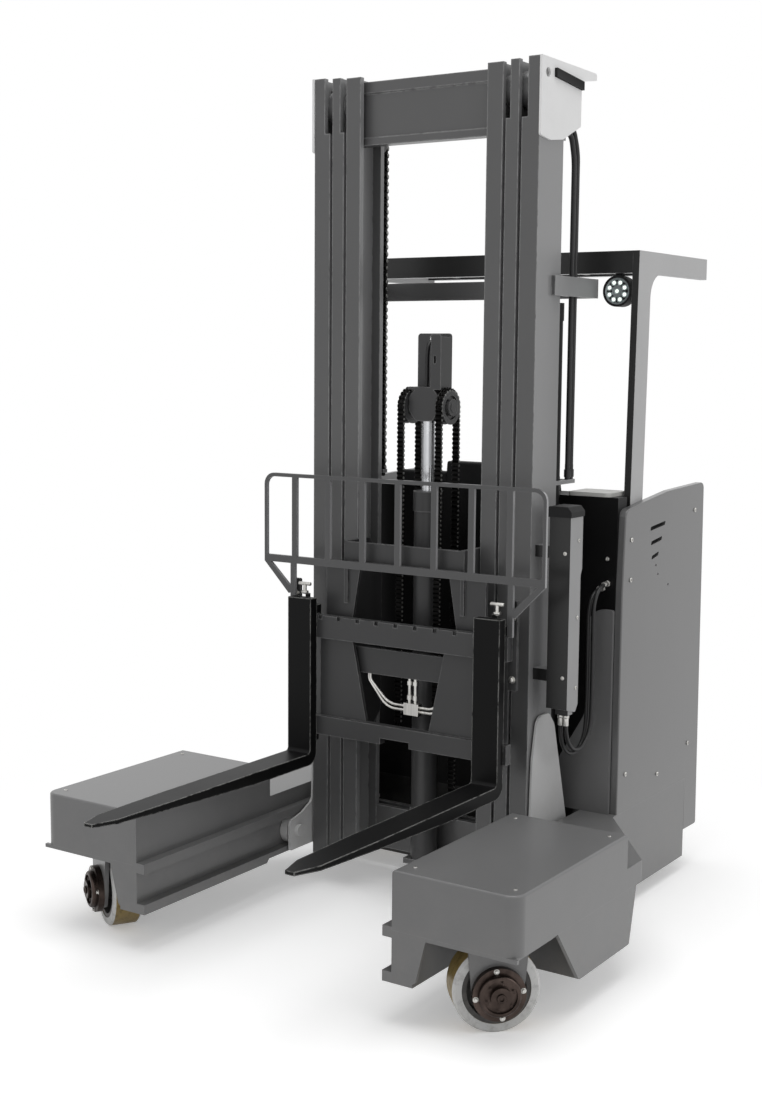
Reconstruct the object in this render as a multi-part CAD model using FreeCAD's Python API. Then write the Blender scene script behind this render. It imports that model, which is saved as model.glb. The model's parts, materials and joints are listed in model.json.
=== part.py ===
import FreeCAD, Part
import math
import os

# Multi-directional reach truck, stand-on, with a three-stage mast between two wide legs.
# All sizes are millimetres. +Z is up, the forks point to -Y, +X is the left side of the
# truck as its driver sees it. Y is measured from the front face of the legs while the
# pieces are drawn; every piece is moved to the middle of the truck when it is written.

V = FreeCAD.Vector

# ---------------------------------------------------------------- driving dimensions
GAP = 0.3                  # between pieces that touch on different bodies
MOVE = 6.0                 # clearance beside a moving piece
SHEET = 6.0                # cover sheet
PLATE = 12.0               # structural plate

# overall arrangement
TRUCK_HALF = 922.0         # half the width over the legs
WELL_HALF = 503.0          # half the width between the legs
BODY_HALF = 640.0          # half the width of the body
BODY_FRONT = 1230.0        # front face of the body
BODY_REAR = 1960.0         # rear face of the body
TUB_INSET = 125.0          # low chassis tub ends this far before the body
TUB_REAR = BODY_REAR - TUB_INSET
TUB_BOTTOM = 57.0          # ground clearance of the chassis
DECK_TOP = 365.0           # top of the chassis deck
DECK_BOTTOM = 296.0        # underside of the deck and of the leg covers
FORK_TIP = -340.0          # foremost point of the truck

# legs
COVER_TOP = 477.0
COVER_LENGTH = 715.0
COVER_CORNER = 45.0
LEG_END = 786.0
LEG_BOTTOM = 110.0
ARCH_FRONT = 246.0
ARCH_REAR = 391.0
BEAM_WIDTH = 74.0
RAIL_BOTTOM = 134.0
RAIL_FLANGE = 33.0         # thickness and depth of the rail flanges
RAIL_OPEN = 105.0          # clear height of the rail
RAIL_STEP = 655.0          # where the lower flange gets thinner

# steered load wheels
WHEEL_X = 748.0
WHEEL_Y = 175.0
WHEEL_R = 132.0
WHEEL_W = 100.0
TREAD = 28.0
HUB_R = 80.0
YOKE_T = 11.0              # head plate of the yoke
ARM = 14.0
TOE = 48.0                 # parked steering angle of the left load wheel
TOE_EXTRA = 10.0           # the right load wheel is turned this much further

# drive wheel and castor
DRIVE_X = -400.0
DRIVE_Y = 1412.0
DRIVE_R = 155.0
DRIVE_W = 100.0
CASTOR_X = 400.0
CASTOR_Y = TUB_REAR - 163.0
CASTOR_R = 80.0
CASTOR_TRAIL = 45.0
CASTOR_W = 40.0

# mast
MAST_FRONT = 910.0
MAST_BOTTOM = 112.0
MAST_TOP = 2935.0
OUTER_HALF = 451.0
OUTER_FLANGE = 66.0
MIDDLE_OUT = 374.0
MIDDLE_FLANGE = 49.0
INNER_OUT = 314.0
INNER_FLANGE = 60.0
FLANGE_T = 20.0
WEB_T = 12.0
OUTER_DEPTH = 170.0
INNER_DEPTH = 150.0
TIE_T = 10.0
PIVOT_Y = 995.0
PIVOT_Z = 185.0
PIVOT_R = 25.0

# reach carriage
REACH_PLATE = 8.0
ROLLER_FRONT_Y = 825.0
ROLLER_REAR_Y = 1150.0

# free lift cylinder
FREE_Y = 975.0
FREE_BARREL_R = 48.0
FREE_ROD_R = 24.0
FREE_BARREL_TOP = 1495.0
SHEAVE_X = 78.0
SHEAVE_R = 52.0
SHEAVE_W = 28.0
SHEAVE_Z = 1790.0
CHAIN_W = 20.0
CHAIN_T = 12.0
HEAD_HALF = 68.0           # hose bracket over the free lift
HEAD_TOP = 2046.0
HEAD_EYE_Z = 1955.0
HEAD_HOSE_R = 7.0
HOSE_R = 9.0
PIPE_R = 5.0
LOOP_R = 7.0
GLAND_GAP = 4.0            # the tilting cover stays clear of the hanging hoses
CHAIN_PITCH = 31.75
CHAIN_WAIST = 3.0
CHAIN_FOOT = 320.0         # lower ends of the chains' fixed falls

# main lift cylinders and chains
LIFT_X = 408.0
LIFT_Y = 1120.0
LIFT_BARREL_R = 32.0
LIFT_ROD_R = 20.0
LIFT_BARREL_BOTTOM = 310.0
LIFT_BARREL_TOP = 2150.0
MAIN_CHAIN_X = 337.0
MAIN_SHEAVE_R = 39.0
MAIN_SHEAVE_Y = 1145.0
MAIN_SHEAVE_Z = MAST_TOP - 190.0
ANCHOR_Z = 1545.0
HOSE_X = 437.0             # hoses behind the left side of the mast
HOSE_Y = 1190.0
HOSE_PITCH = 23.0

# carriage, backrest and forks
BAR_FRONT = 772.0
BAR_T = 30.0
BAR_HALF = 445.0
UPPER_BAR_TOP = 1046.0
UPPER_BAR_H = 82.0
LOWER_BAR_BOTTOM = 612.0
LOWER_BAR_H = 68.0
ROLLER_PLATE_OUT = 248.0
ROLLER_PLATE_T = 15.0
CARRIAGE_LOW_Z = 700.0
CARRIAGE_HIGH_Z = 1120.0
BRACE_Z = 850.0            # cross plate behind the carriage window
REST_HALF = 576.0
REST_TOP = 1545.0
REST_BOTTOM = 1222.0
REST_Y = 778.0
REST_BAR = 26.0
REST_T = 12.0
FORK_X = 385.0
FORK_W = 100.0
FORK_T = 38.0
FORK_TOP = 545.0
SHANK_TOP = 1108.0
FORK_TIP_T = 12.0

# body and guard
PANEL_T = 25.0
PAD_W = 97.0               # width of the front pads at their waist
PAD_FOOT_W = 213.0
PAD_TOP = 1095.0
BATTERY_W = 770.0
BATTERY_GAP = 15.0         # from the battery to the panel and to the wall behind it
HOOD_LOW = 1005.0          # underside of the hood
GUARD_TOP = 2335.0
GUARD_H = 76.0
TIE_DROP = 97.0            # from the guard's top to the top of the bar round the mast
TIE_BAR_H = 66.0
TIE_BAR_T = 14.0
POST_FRONT = 1350.0
POST_W = 100.0
VENT_SETBACK = 217.0
VENT_TOP = 1366.0
VENT_PITCH = 53.0
CAB_FRONT = 1580.0         # front of the driver's standing room
HOOD_TOP = 1486.0
SHELF_Z = 1128.0
HOOD_LID_X = 420.0
STEER_X = -250.0
STEER_R = 54.0
LAMP_X = 532.0
LAMP_R = 54.0
LAMP_DEPTH = 50.0

Y_MIDDLE = (FORK_TIP + BODY_REAR) / 2.0


# ---------------------------------------------------------------- shape helpers
def box(x0, x1, y0, y1, z0, z1):
    return Part.makeBox(x1 - x0, y1 - y0, z1 - z0, V(x0, y0, z0))


def rod(axis, a, b, p, q, r):
    """A round bar from a to b along an axis, centred on the other two coordinates."""
    if axis == "x":
        return Part.makeCylinder(r, b - a, V(a, p, q), V(1, 0, 0))
    if axis == "y":
        return Part.makeCylinder(r, b - a, V(p, a, q), V(0, 1, 0))
    return Part.makeCylinder(r, b - a, V(p, q, a), V(0, 0, 1))


def tube(axis, a, b, p, q, r_out, r_in):
    return rod(axis, a, b, p, q, r_out).cut(rod(axis, a - 1, b + 1, p, q, r_in))


def outline(points, to3d):
    """A closed wire through points (u, v) or (u, v, r), where r rounds the corner."""
    n = len(points)
    starts = []
    ends = []
    for i in range(n):
        u, v = points[i][0], points[i][1]
        r = points[i][2] if len(points[i]) > 2 else 0.0
        here = V(u, v, 0)
        if r <= 0:
            starts.append((here, None))
            ends.append(here)
            continue
        before = V(points[i - 1][0], points[i - 1][1], 0)
        after = V(points[(i + 1) % n][0], points[(i + 1) % n][1], 0)
        d1 = (before - here).normalize()
        d2 = (after - here).normalize()
        half = math.acos(max(-1.0, min(1.0, d1.dot(d2)))) / 2.0
        back = r / math.tan(half)
        middle = (d1 + d2).normalize()
        centre = here + middle * (r / math.sin(half))
        starts.append((here + d1 * back, centre - middle * r))
        ends.append(here + d2 * back)
    edges = []
    for i in range(n):
        first, top = starts[i]
        if top is not None:
            edges.append(Part.Arc(to3d(first), to3d(top), to3d(ends[i])).toShape())
        following = starts[(i + 1) % n][0]
        if (following - ends[i]).Length > 1e-6:
            edges.append(Part.LineSegment(to3d(ends[i]), to3d(following)).toShape())
    return Part.Wire(edges)


def plate_x(points, x0, x1):
    """A plate across X from an outline of (y, z) points."""
    wire = outline(points, lambda p: V(x0, p.x, p.y))
    return Part.Face(wire).extrude(V(x1 - x0, 0, 0))


def plate_y(points, y0, y1):
    """A plate across Y from an outline of (x, z) points."""
    wire = outline(points, lambda p: V(p.x, y0, p.y))
    return Part.Face(wire).extrude(V(0, y1 - y0, 0))


def plate_z(points, z0, z1):
    """A plate across Z from an outline of (x, y) points."""
    wire = outline(points, lambda p: V(p.x, p.y, z0))
    return Part.Face(wire).extrude(V(0, 0, z1 - z0))


def hose(points, r):
    """A round hose along straight runs joined by arcs as large as the runs allow."""
    path = [V(*p) for p in points]
    edges = []
    start = path[0]
    for k in range(1, len(path) - 1):
        into = path[k] - path[k - 1]
        out = path[k + 1] - path[k]
        short = min(into.Length, out.Length)
        a = V(into).normalize()
        b = V(out).normalize()
        turn = math.acos(max(-1.0, min(1.0, a.dot(b))))
        back = 0.45 * short
        bend = back / math.tan(turn / 2.0)
        first = path[k] - a * back
        last = path[k] + b * back
        if bend < 10.0 * r:
            print("hose bend", round(bend), "of hose", r)
        towards = (b - a).normalize()
        centre = path[k] + towards * (bend / math.cos(turn / 2.0))
        middle = centre - towards * bend
        if (first - start).Length > 1e-6:
            edges.append(Part.LineSegment(start, first).toShape())
        edges.append(Part.Arc(first, middle, last).toShape())
        start = last
    edges.append(Part.LineSegment(start, path[-1]).toShape())
    spine = Part.Wire(edges)
    ahead = path[1] - path[0]
    ring = Part.Wire(Part.Circle(path[0], ahead, r).toShape())
    return spine.makePipeShell([ring], True, False)


def join(*pieces):
    shape = pieces[0]
    if len(pieces) > 1:
        shape = shape.fuse(list(pieces[1:]))
    return shape.removeSplitter()


def mirrored(shape):
    return shape.mirror(V(0, 0, 0), V(1, 0, 0))


def both(shape):
    """The piece and its mirror image, as separate solids of one node."""
    return Part.Compound(solids(shape) + solids(mirrored(shape)))


def solids(shape):
    return list(shape.Solids)


def write(name, shape):
    """Moves a piece to the middle of the truck and writes it as one STEP file."""
    found = solids(shape)
    whole = found[0] if len(found) == 1 else Part.Compound(found)
    whole = whole.copy()
    whole.translate(V(0, -Y_MIDDLE, 0))
    whole.exportStep("parts/" + name + ".step")
    return whole


# ---------------------------------------------------------------- legs
RAIL_TOP = RAIL_BOTTOM + 2 * RAIL_FLANGE + RAIL_OPEN
RAIL_EDGE = WELL_HALF - RAIL_FLANGE
BEAM_OUT = WELL_HALF + BEAM_WIDTH
ROLLER_Z = RAIL_BOTTOM + RAIL_FLANGE + RAIL_OPEN / 2.0
RAIL_END = BODY_FRONT


def leg_frame():
    beam = box(WELL_HALF, BEAM_OUT, 0, RAIL_END, RAIL_BOTTOM, DECK_BOTTOM)
    hollow = box(WELL_HALF + 16, BEAM_OUT - PLATE, PLATE, RAIL_END - PLATE,
                 RAIL_BOTTOM + PLATE, DECK_BOTTOM - PLATE)
    beam = beam.cut(hollow)
    upper = box(RAIL_EDGE, WELL_HALF, 0, RAIL_END, RAIL_TOP - RAIL_FLANGE, RAIL_TOP)
    lower = plate_x([(0, RAIL_BOTTOM), (RAIL_STEP, RAIL_BOTTOM), (RAIL_STEP + 12, RAIL_BOTTOM + 14),
                     (RAIL_END, RAIL_BOTTOM + 14), (RAIL_END, RAIL_BOTTOM + RAIL_FLANGE),
                     (0, RAIL_BOTTOM + RAIL_FLANGE)], RAIL_EDGE, WELL_HALF)
    front = plate_y([(WELL_HALF, RAIL_BOTTOM), (BEAM_OUT + 8, RAIL_BOTTOM + 14, 14),
                     (BEAM_OUT + 46, DECK_BOTTOM, 0), (WELL_HALF, DECK_BOTTOM)], 0, PLATE)
    bridge = box(BEAM_OUT, TRUCK_HALF - PLATE, 0, LEG_END, DECK_BOTTOM - PLATE, DECK_BOTTOM)
    bridge = bridge.cut(rod("z", DECK_BOTTOM - 40, DECK_BOTTOM + 10, WHEEL_X, WHEEL_Y, 42.0))
    side = plate_x([(ARCH_FRONT, DECK_BOTTOM), (ARCH_REAR, LEG_BOTTOM, 12),
                    (LEG_END - 44, LEG_BOTTOM, 8), (LEG_END, DECK_BOTTOM - 10),
                    (LEG_END, DECK_BOTTOM)], TRUCK_HALF - PLATE, TRUCK_HALF)
    lip = box(BEAM_OUT, TRUCK_HALF, 0, PLATE, DECK_BOTTOM - PLATE, DECK_BOTTOM)
    wall = box(BEAM_OUT, TRUCK_HALF - PLATE, ARCH_REAR + 4, ARCH_REAR + 4 + PLATE,
               LEG_BOTTOM, DECK_BOTTOM)
    floor = box(BEAM_OUT, TRUCK_HALF - PLATE, ARCH_REAR + 4, LEG_END - 46,
                LEG_BOTTOM, LEG_BOTTOM + PLATE)
    tail = plate_x([(LEG_END - 56, LEG_BOTTOM), (LEG_END - 44, LEG_BOTTOM),
                    (LEG_END, DECK_BOTTOM - 10), (LEG_END, DECK_BOTTOM), (LEG_END - 12, DECK_BOTTOM)],
                   BEAM_OUT, TRUCK_HALF - PLATE)
    return join(beam, upper, lower, front, bridge, side, lip, wall, floor, tail)


def leg_cover():
    outer = plate_z([(WELL_HALF, 0), (TRUCK_HALF, 0, COVER_CORNER), (TRUCK_HALF, COVER_LENGTH),
                     (WELL_HALF, COVER_LENGTH)], DECK_BOTTOM, COVER_TOP)
    rim = []
    for edge in outer.Edges:
        c = edge.CenterOfMass
        if abs(c.z - COVER_TOP) < 1e-6:
            rim.append(edge)
    outer = outer.makeFillet(8.0, rim)
    inner = plate_z([(WELL_HALF + SHEET, SHEET), (TRUCK_HALF - SHEET, SHEET, COVER_CORNER - SHEET),
                     (TRUCK_HALF - SHEET, COVER_LENGTH - SHEET),
                     (WELL_HALF + SHEET, COVER_LENGTH - SHEET)], DECK_BOTTOM - 1, COVER_TOP - SHEET)
    return outer.cut(inner)


# ---------------------------------------------------------------- chassis
def chassis_frame():
    plan = [(WELL_HALF, COVER_LENGTH), (TRUCK_HALF, COVER_LENGTH), (TRUCK_HALF, LEG_END + 40, 20),
            (BODY_HALF, BODY_FRONT - 30, 10), (BODY_HALF, TUB_REAR), (-BODY_HALF, TUB_REAR),
            (-BODY_HALF, BODY_FRONT - 30, 10), (-TRUCK_HALF, LEG_END + 40, 20),
            (-TRUCK_HALF, COVER_LENGTH), (-WELL_HALF, COVER_LENGTH),
            (-WELL_HALF, BODY_FRONT), (WELL_HALF, BODY_FRONT)]
    top = plate_z(plan, DECK_TOP - PLATE, DECK_TOP)
    skirt = plate_z(plan, DECK_BOTTOM, DECK_TOP - PLATE)
    core = plate_z([(WELL_HALF + PLATE, COVER_LENGTH + PLATE),
                    (TRUCK_HALF - PLATE, COVER_LENGTH + PLATE),
                    (TRUCK_HALF - PLATE, LEG_END + 30),
                    (BODY_HALF - PLATE, BODY_FRONT - 34), (BODY_HALF - PLATE, TUB_REAR - PLATE),
                    (-BODY_HALF + PLATE, TUB_REAR - PLATE), (-BODY_HALF + PLATE, BODY_FRONT - 34),
                    (-TRUCK_HALF + PLATE, LEG_END + 30),
                    (-TRUCK_HALF + PLATE, COVER_LENGTH + PLATE),
                    (-WELL_HALF - PLATE, COVER_LENGTH + PLATE),
                    (-WELL_HALF - PLATE, BODY_FRONT + PLATE), (WELL_HALF + PLATE, BODY_FRONT + PLATE)],
                   DECK_BOTTOM - 1, DECK_TOP - PLATE)
    skirt = skirt.cut(core)
    tub = box(-BODY_HALF, BODY_HALF, BODY_FRONT, TUB_REAR, TUB_BOTTOM, DECK_BOTTOM)
    tub = tub.cut(box(-BODY_HALF + PLATE, BODY_HALF - PLATE, BODY_FRONT + PLATE, TUB_REAR - PLATE,
                      TUB_BOTTOM + PLATE, DECK_BOTTOM + 1))
    drive_hole = rod("z", TUB_BOTTOM - 1, TUB_BOTTOM + PLATE + 1, DRIVE_X, DRIVE_Y, DRIVE_R + 20)
    castor_hole = rod("z", TUB_BOTTOM - 1, TUB_BOTTOM + PLATE + 1, CASTOR_X, CASTOR_Y,
                      CASTOR_R + CASTOR_TRAIL + 20)
    tub = tub.cut(drive_hole).cut(castor_hole)
    frame = join(top, skirt, tub)
    motor_hole = rod("z", DECK_TOP - PLATE - 1, DECK_TOP + 1, DRIVE_X, DRIVE_Y, 80.0)
    frame = frame.cut(motor_hole)
    stand_well = box(-BODY_HALF + PANEL_T, BODY_HALF - PANEL_T, CAB_FRONT, TUB_REAR + 1,
                     243, DECK_TOP + 1)
    frame = frame.cut(stand_well)
    castor_plate = box(CASTOR_X - 150, CASTOR_X + 150, CASTOR_Y - 110, CASTOR_Y + 110, 232, 240)
    ribs = box(CASTOR_X - 158, CASTOR_X - 150, BODY_FRONT + PLATE, TUB_REAR - PLATE, 120, 240)
    ribs2 = box(CASTOR_X + 150, CASTOR_X + 158, BODY_FRONT + PLATE, TUB_REAR - PLATE, 120, 240)
    frame = join(frame, castor_plate, ribs, ribs2)
    pin = rod("z", 230, 242, CASTOR_X, CASTOR_Y, 20.5)
    return frame.cut(pin)


# ---------------------------------------------------------------- load wheel unit
def at_wheel(shape):
    """Turns a piece drawn at the wheel's own axis to its parked angle and place."""
    shape = shape.copy()
    shape.rotate(V(0, 0, 0), V(0, 0, 1), -TOE)
    shape.translate(V(WHEEL_X, WHEEL_Y, 0))
    return shape


def turned_right(shape):
    """The mirrored piece, turned about the right kingpin to its own parked angle."""
    shape = mirrored(shape)
    shape.rotate(V(-WHEEL_X, WHEEL_Y, 0), V(0, 0, 1), TOE_EXTRA)
    return shape


YOKE_Z = 2 * WHEEL_R + MOVE


def load_yoke():
    half = WHEEL_W / 2.0
    head = plate_z([(-half - 10, -70, 20), (half + MOVE, -92, 20), (half + MOVE + ARM, -92),
                    (half + MOVE + ARM, 92), (half + MOVE, 92, 20), (-half - 10, 70, 20)],
                   YOKE_Z, YOKE_Z + YOKE_T)
    arm = plate_x([(-92, YOKE_Z + YOKE_T), (92, YOKE_Z + YOKE_T), (88, YOKE_Z - 30, 20),
                   (HUB_R - 2, WHEEL_R, 40), (HUB_R - 22, WHEEL_R - 58, 30),
                   (-HUB_R + 22, WHEEL_R - 58, 30), (-HUB_R + 2, WHEEL_R, 40), (-88, YOKE_Z - 30, 20)],
                  half + MOVE, half + MOVE + ARM)
    kingpin = rod("z", YOKE_Z, DECK_BOTTOM + 34, 0, 0, 40.0)
    ring = tube("z", YOKE_Z + YOKE_T, DECK_BOTTOM - PLATE - GAP, 0, 0, 66.0, 41.5)
    axle = rod("x", -half - 4, half + MOVE + ARM, 0, WHEEL_R, 22.0)
    return at_wheel(join(head, arm, kingpin, ring, axle))


def wheel_hub():
    """Flange, stepped cup and cap of the hub motor, seated on the yoke's arm."""
    start = WHEEL_W / 2.0 + MOVE + ARM
    flange = rod("x", start, start + 20, 0, WHEEL_R, HUB_R)
    cup = rod("x", start + 20, start + 38, 0, WHEEL_R, HUB_R - 17)
    edges = []
    for edge in cup.Edges:
        if abs(edge.CenterOfMass.x - start - 38) < 1e-6:
            edges.append(edge)
    cup = cup.makeFillet(9.0, edges)
    dish = rod("x", start + 30, start + 39, 0, WHEEL_R, HUB_R - 30)
    cap = rod("x", start + 29, start + 46, 0, WHEEL_R, 31.0)
    return at_wheel(join(flange, cup.cut(dish), cap))


def load_rim():
    half = WHEEL_W / 2.0
    rim = tube("x", -half + 2, half - 2, 0, WHEEL_R, WHEEL_R - TREAD - GAP / 10, WHEEL_R - TREAD - 14)
    disc = rod("x", -12, 12, 0, WHEEL_R, WHEEL_R - TREAD - 10)
    boss = rod("x", -half + 6, half - 4, 0, WHEEL_R, 40.0)
    wheel = join(rim, disc, boss)
    return at_wheel(wheel.cut(rod("x", -half - 1, half + 1, 0, WHEEL_R, 22.0 + GAP)))


def load_tyre():
    half = WHEEL_W / 2.0
    tyre = tube("x", -half, half, 0, WHEEL_R, WHEEL_R, WHEEL_R - TREAD)
    edges = []
    for edge in tyre.Edges:
        if edge.Curve.TypeId == "Part::GeomCircle" and abs(edge.Curve.Radius - WHEEL_R) < 1e-6:
            edges.append(edge)
    return at_wheel(tyre.makeChamfer(7.0, edges))


# ---------------------------------------------------------------- drive wheel and castor
def drive_unit():
    bearing = rod("z", DECK_TOP + GAP, DECK_TOP + 26, DRIVE_X, DRIVE_Y, 130.0)
    neck = rod("z", DRIVE_R * 2 + 8, DECK_TOP + GAP, DRIVE_X, DRIVE_Y, 76.0)
    motor = rod("z", DECK_TOP + 26, DECK_TOP + 330, DRIVE_X, DRIVE_Y, 100.0)
    side = DRIVE_X + DRIVE_W / 2.0 + MOVE
    case = plate_x([(DRIVE_Y - 70, DRIVE_R * 2 + 20), (DRIVE_Y + 70, DRIVE_R * 2 + 20),
                    (DRIVE_Y + 90, DRIVE_R + 10, 40), (DRIVE_Y + 60, DRIVE_R - 80, 50),
                    (DRIVE_Y - 60, DRIVE_R - 80, 50), (DRIVE_Y - 90, DRIVE_R + 10, 40)],
                   side, side + 40)
    head = box(DRIVE_X - 60, side + 40, DRIVE_Y - 66, DRIVE_Y + 66, DRIVE_R * 2 + 8, DRIVE_R * 2 + 20)
    axle = rod("x", DRIVE_X - DRIVE_W / 2.0, side, DRIVE_Y, DRIVE_R, 30.0)
    return join(bearing, neck, motor, head, case, axle)


def drive_wheel():
    half = DRIVE_W / 2.0
    body = rod("x", DRIVE_X - half, DRIVE_X + half, DRIVE_Y, DRIVE_R, DRIVE_R - 30)
    recess = rod("x", DRIVE_X - half - 1, DRIVE_X - half + 30, DRIVE_Y, DRIVE_R, 100.0)
    bore = rod("x", DRIVE_X - half - 1, DRIVE_X + half + 1, DRIVE_Y, DRIVE_R, 30.0 + GAP)
    return body.cut(recess).cut(bore)


def drive_tyre():
    half = DRIVE_W / 2.0
    return tube("x", DRIVE_X - half, DRIVE_X + half, DRIVE_Y, DRIVE_R, DRIVE_R, DRIVE_R - 30)


def castor_fork():
    plate = rod("z", 212, 232 - GAP, CASTOR_X, CASTOR_Y, 80.0)
    pin = rod("z", 212, 236, CASTOR_X, CASTOR_Y, 20.0)
    wheel_y = CASTOR_Y + CASTOR_TRAIL
    arm = plate_x([(CASTOR_Y - 60, 212), (CASTOR_Y + 60, 212), (wheel_y + 26, CASTOR_R, 24),
                   (wheel_y, CASTOR_R - 28, 24), (wheel_y - 26, CASTOR_R, 24)],
                  CASTOR_X - 8, CASTOR_X + 8)
    axle = rod("x", CASTOR_X - 14 - CASTOR_W, CASTOR_X + 14 + CASTOR_W, wheel_y, CASTOR_R, 12.0)
    return join(plate, pin, arm, axle)


def castor_wheels():
    wheel_y = CASTOR_Y + CASTOR_TRAIL
    start = CASTOR_X + 8 + MOVE / 2
    one = rod("x", start, start + CASTOR_W, wheel_y, CASTOR_R, CASTOR_R)
    one = one.cut(rod("x", start - 1, start + CASTOR_W + 1, wheel_y, CASTOR_R, 12.0 + GAP))
    two = one.copy()
    two.translate(V(-CASTOR_W - 16 - MOVE, 0, 0))
    return Part.Compound([one, two])


# ---------------------------------------------------------------- body
def vent(y0, z0, y1, z1, height):
    """A slot with slanted ends through the side panel."""
    lean = height * 0.55
    return plate_x([(y0, z0, 4), (y1 - lean, z1, 4), (y1, z1 + height, 4), (y0 + lean, z0 + height, 4)],
                   BODY_HALF - PANEL_T - 1, BODY_HALF + 1)


def side_panel():
    panel = plate_x([(BODY_FRONT, DECK_TOP), (TUB_REAR, DECK_TOP), (TUB_REAR + 2, 158),
                    (BODY_REAR, 156, 12), (BODY_REAR - 26, 1500, 24), (1612, 1488, 300),
                    (1380, 1461, 300), (BODY_FRONT + 14, 1443, 30), (BODY_FRONT, 1160, 200)],
                    BODY_HALF - PANEL_T, BODY_HALF)
    rim = []
    for edge in panel.Edges:
        box_ = edge.BoundBox
        if box_.XMin > BODY_HALF - 0.01 and box_.ZMin > DECK_TOP + 1 and box_.ZMin > 160:
            rim.append(edge)
    panel = panel.makeFillet(5.0, rim)
    y = BODY_FRONT + VENT_SETBACK
    for k in range(3):
        z = VENT_TOP - k * VENT_PITCH
        panel = panel.cut(vent(y + 8 * k, z - 12, y + 136 - 26 * k, z, 15))
    for dy, dz in ((60, -140), (80, -175), (173, -223)):
        panel = panel.cut(rod("x", BODY_HALF - 8, BODY_HALF + 1, y + dy, VENT_TOP + dz, 4.5))
    return panel


def front_wall():
    half = BODY_HALF - PANEL_T
    return box(-half, half, BODY_FRONT, BODY_FRONT + PLATE, DECK_TOP, 1486)


def front_pads():
    edge = BODY_HALF - PANEL_T - 2
    waist = edge - PAD_W
    pad = plate_y([(edge - PAD_FOOT_W, DECK_TOP), (edge, DECK_TOP), (edge, PAD_TOP, 10),
                   (waist + 4, PAD_TOP, 60), (waist, 720, 120), (edge - PAD_FOOT_W, 520, 80)],
                  BODY_FRONT - 14, BODY_FRONT)
    return both(pad)


def battery_block():
    side = BODY_HALF - PANEL_T - BATTERY_GAP
    return box(side - BATTERY_W, side, BODY_FRONT + PLATE + 4, CAB_FRONT - BATTERY_GAP, DECK_TOP, HOOD_LOW)


def console():
    """Hood in front of the driver with a shelf for the controls and a raised dash."""
    half = BODY_HALF - PANEL_T
    front = BODY_FRONT + PLATE
    hood = plate_x([(front, HOOD_LOW), (CAB_FRONT, HOOD_LOW), (CAB_FRONT, SHELF_Z, 12),
                    (CAB_FRONT - 140, SHELF_Z, 16), (CAB_FRONT - 165, 1400, 30),
                    (CAB_FRONT - 200, HOOD_TOP), (front, HOOD_TOP)], -half, half)
    for sign in (-1, 1):
        slot = box(half - 26, half + 1, POST_FRONT - 50, POST_FRONT + POST_W + 10, 1004, HOOD_TOP + 1)
        hood = hood.cut(slot if sign > 0 else mirrored(slot))
    dash = plate_x([(front, HOOD_TOP - 1), (CAB_FRONT - 204, HOOD_TOP - 1), (CAB_FRONT - 220, 1545, 20),
                    (1300, 1582, 20), (front + 10, 1582, 12)], -90, 320)
    low = plate_x([(front, HOOD_TOP - 1), (CAB_FRONT - 204, HOOD_TOP - 1), (CAB_FRONT - 214, 1536, 12),
                   (front, 1544, 12)], -300, -90)
    wrist = plate_y([(-420, SHELF_Z - 4), (420, SHELF_Z - 4), (420, SHELF_Z + 16, 8),
                     (-420, SHELF_Z + 16, 8)], CAB_FRONT - 24, CAB_FRONT - 2)
    return join(hood, dash, low, wrist)


def hood_cover():
    """Pale lid over the hood beside the dash, with a turned-down front edge."""
    lid = plate_z([(HOOD_LID_X, BODY_FRONT + 2, 10), (BODY_HALF - 60, BODY_FRONT + 2, 20),
                   (BODY_HALF - 60, BODY_FRONT + 68), (BODY_HALF - 60, CAB_FRONT - 204, 10),
                   (HOOD_LID_X, CAB_FRONT - 204, 10)], HOOD_TOP, HOOD_TOP + 14)
    return lid


def controls():
    """Steering disc with its knob, two hydraulic levers, display, key switch and stop button."""
    y = CAB_FRONT - 78
    post = rod("z", SHELF_Z, SHELF_Z + 41, STEER_X, y, 20.0)
    disc = rod("z", SHELF_Z + 40, SHELF_Z + 56, STEER_X, y, STEER_R)
    edges = []
    for edge in disc.Edges:
        if edge.Curve.TypeId == "Part::GeomCircle":
            edges.append(edge)
    disc = disc.makeFillet(6.0, edges)
    knob = rod("z", SHELF_Z + 55, SHELF_Z + 84, STEER_X + STEER_R - 22, y, 15.0)
    steering = join(post, disc, knob)
    levers = []
    for k in range(3):
        x = -STEER_X - 60 + 60 * k
        stem = rod("z", SHELF_Z, SHELF_Z + 64, x, y, 5.0)
        grip = rod("z", SHELF_Z + 52, SHELF_Z + 92, x, y, 12.0)
        boot = Part.makeCone(20.0, 8.0, 26.0, V(x, y, SHELF_Z), V(0, 0, 1))
        levers.append(join(stem, grip, boot))
    stop = join(rod("z", SHELF_Z, SHELF_Z + 18, 0, y, 12.0),
                rod("z", SHELF_Z + 17, SHELF_Z + 30, 0, y, 20.0))
    screen = plate_x([(CAB_FRONT - 202, HOOD_TOP), (CAB_FRONT - 176, HOOD_TOP, 4),
                      (CAB_FRONT - 196, HOOD_TOP + 92, 6), (CAB_FRONT - 212, HOOD_TOP + 92, 6)], 30, 200)
    return Part.Compound([steering, stop] + levers), screen


def rear_wall():
    half = BODY_HALF - PANEL_T
    wall = box(-half, half, CAB_FRONT - PLATE, CAB_FRONT, DECK_TOP, HOOD_LOW)
    return wall


def floor():
    half = BODY_HALF - PANEL_T
    tray = box(-half, half, CAB_FRONT + 2, BODY_REAR - 8, 244, 256)
    kick = box(-half, half, CAB_FRONT + 2, CAB_FRONT + 14, 256, DECK_TOP)
    rear = box(-half, half, BODY_REAR - 20, BODY_REAR - 8, 158, 244)
    under = box(-half, half, TUB_REAR + 2, BODY_REAR - 20, 158, 166)
    return join(tray, kick, rear, under)


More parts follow.
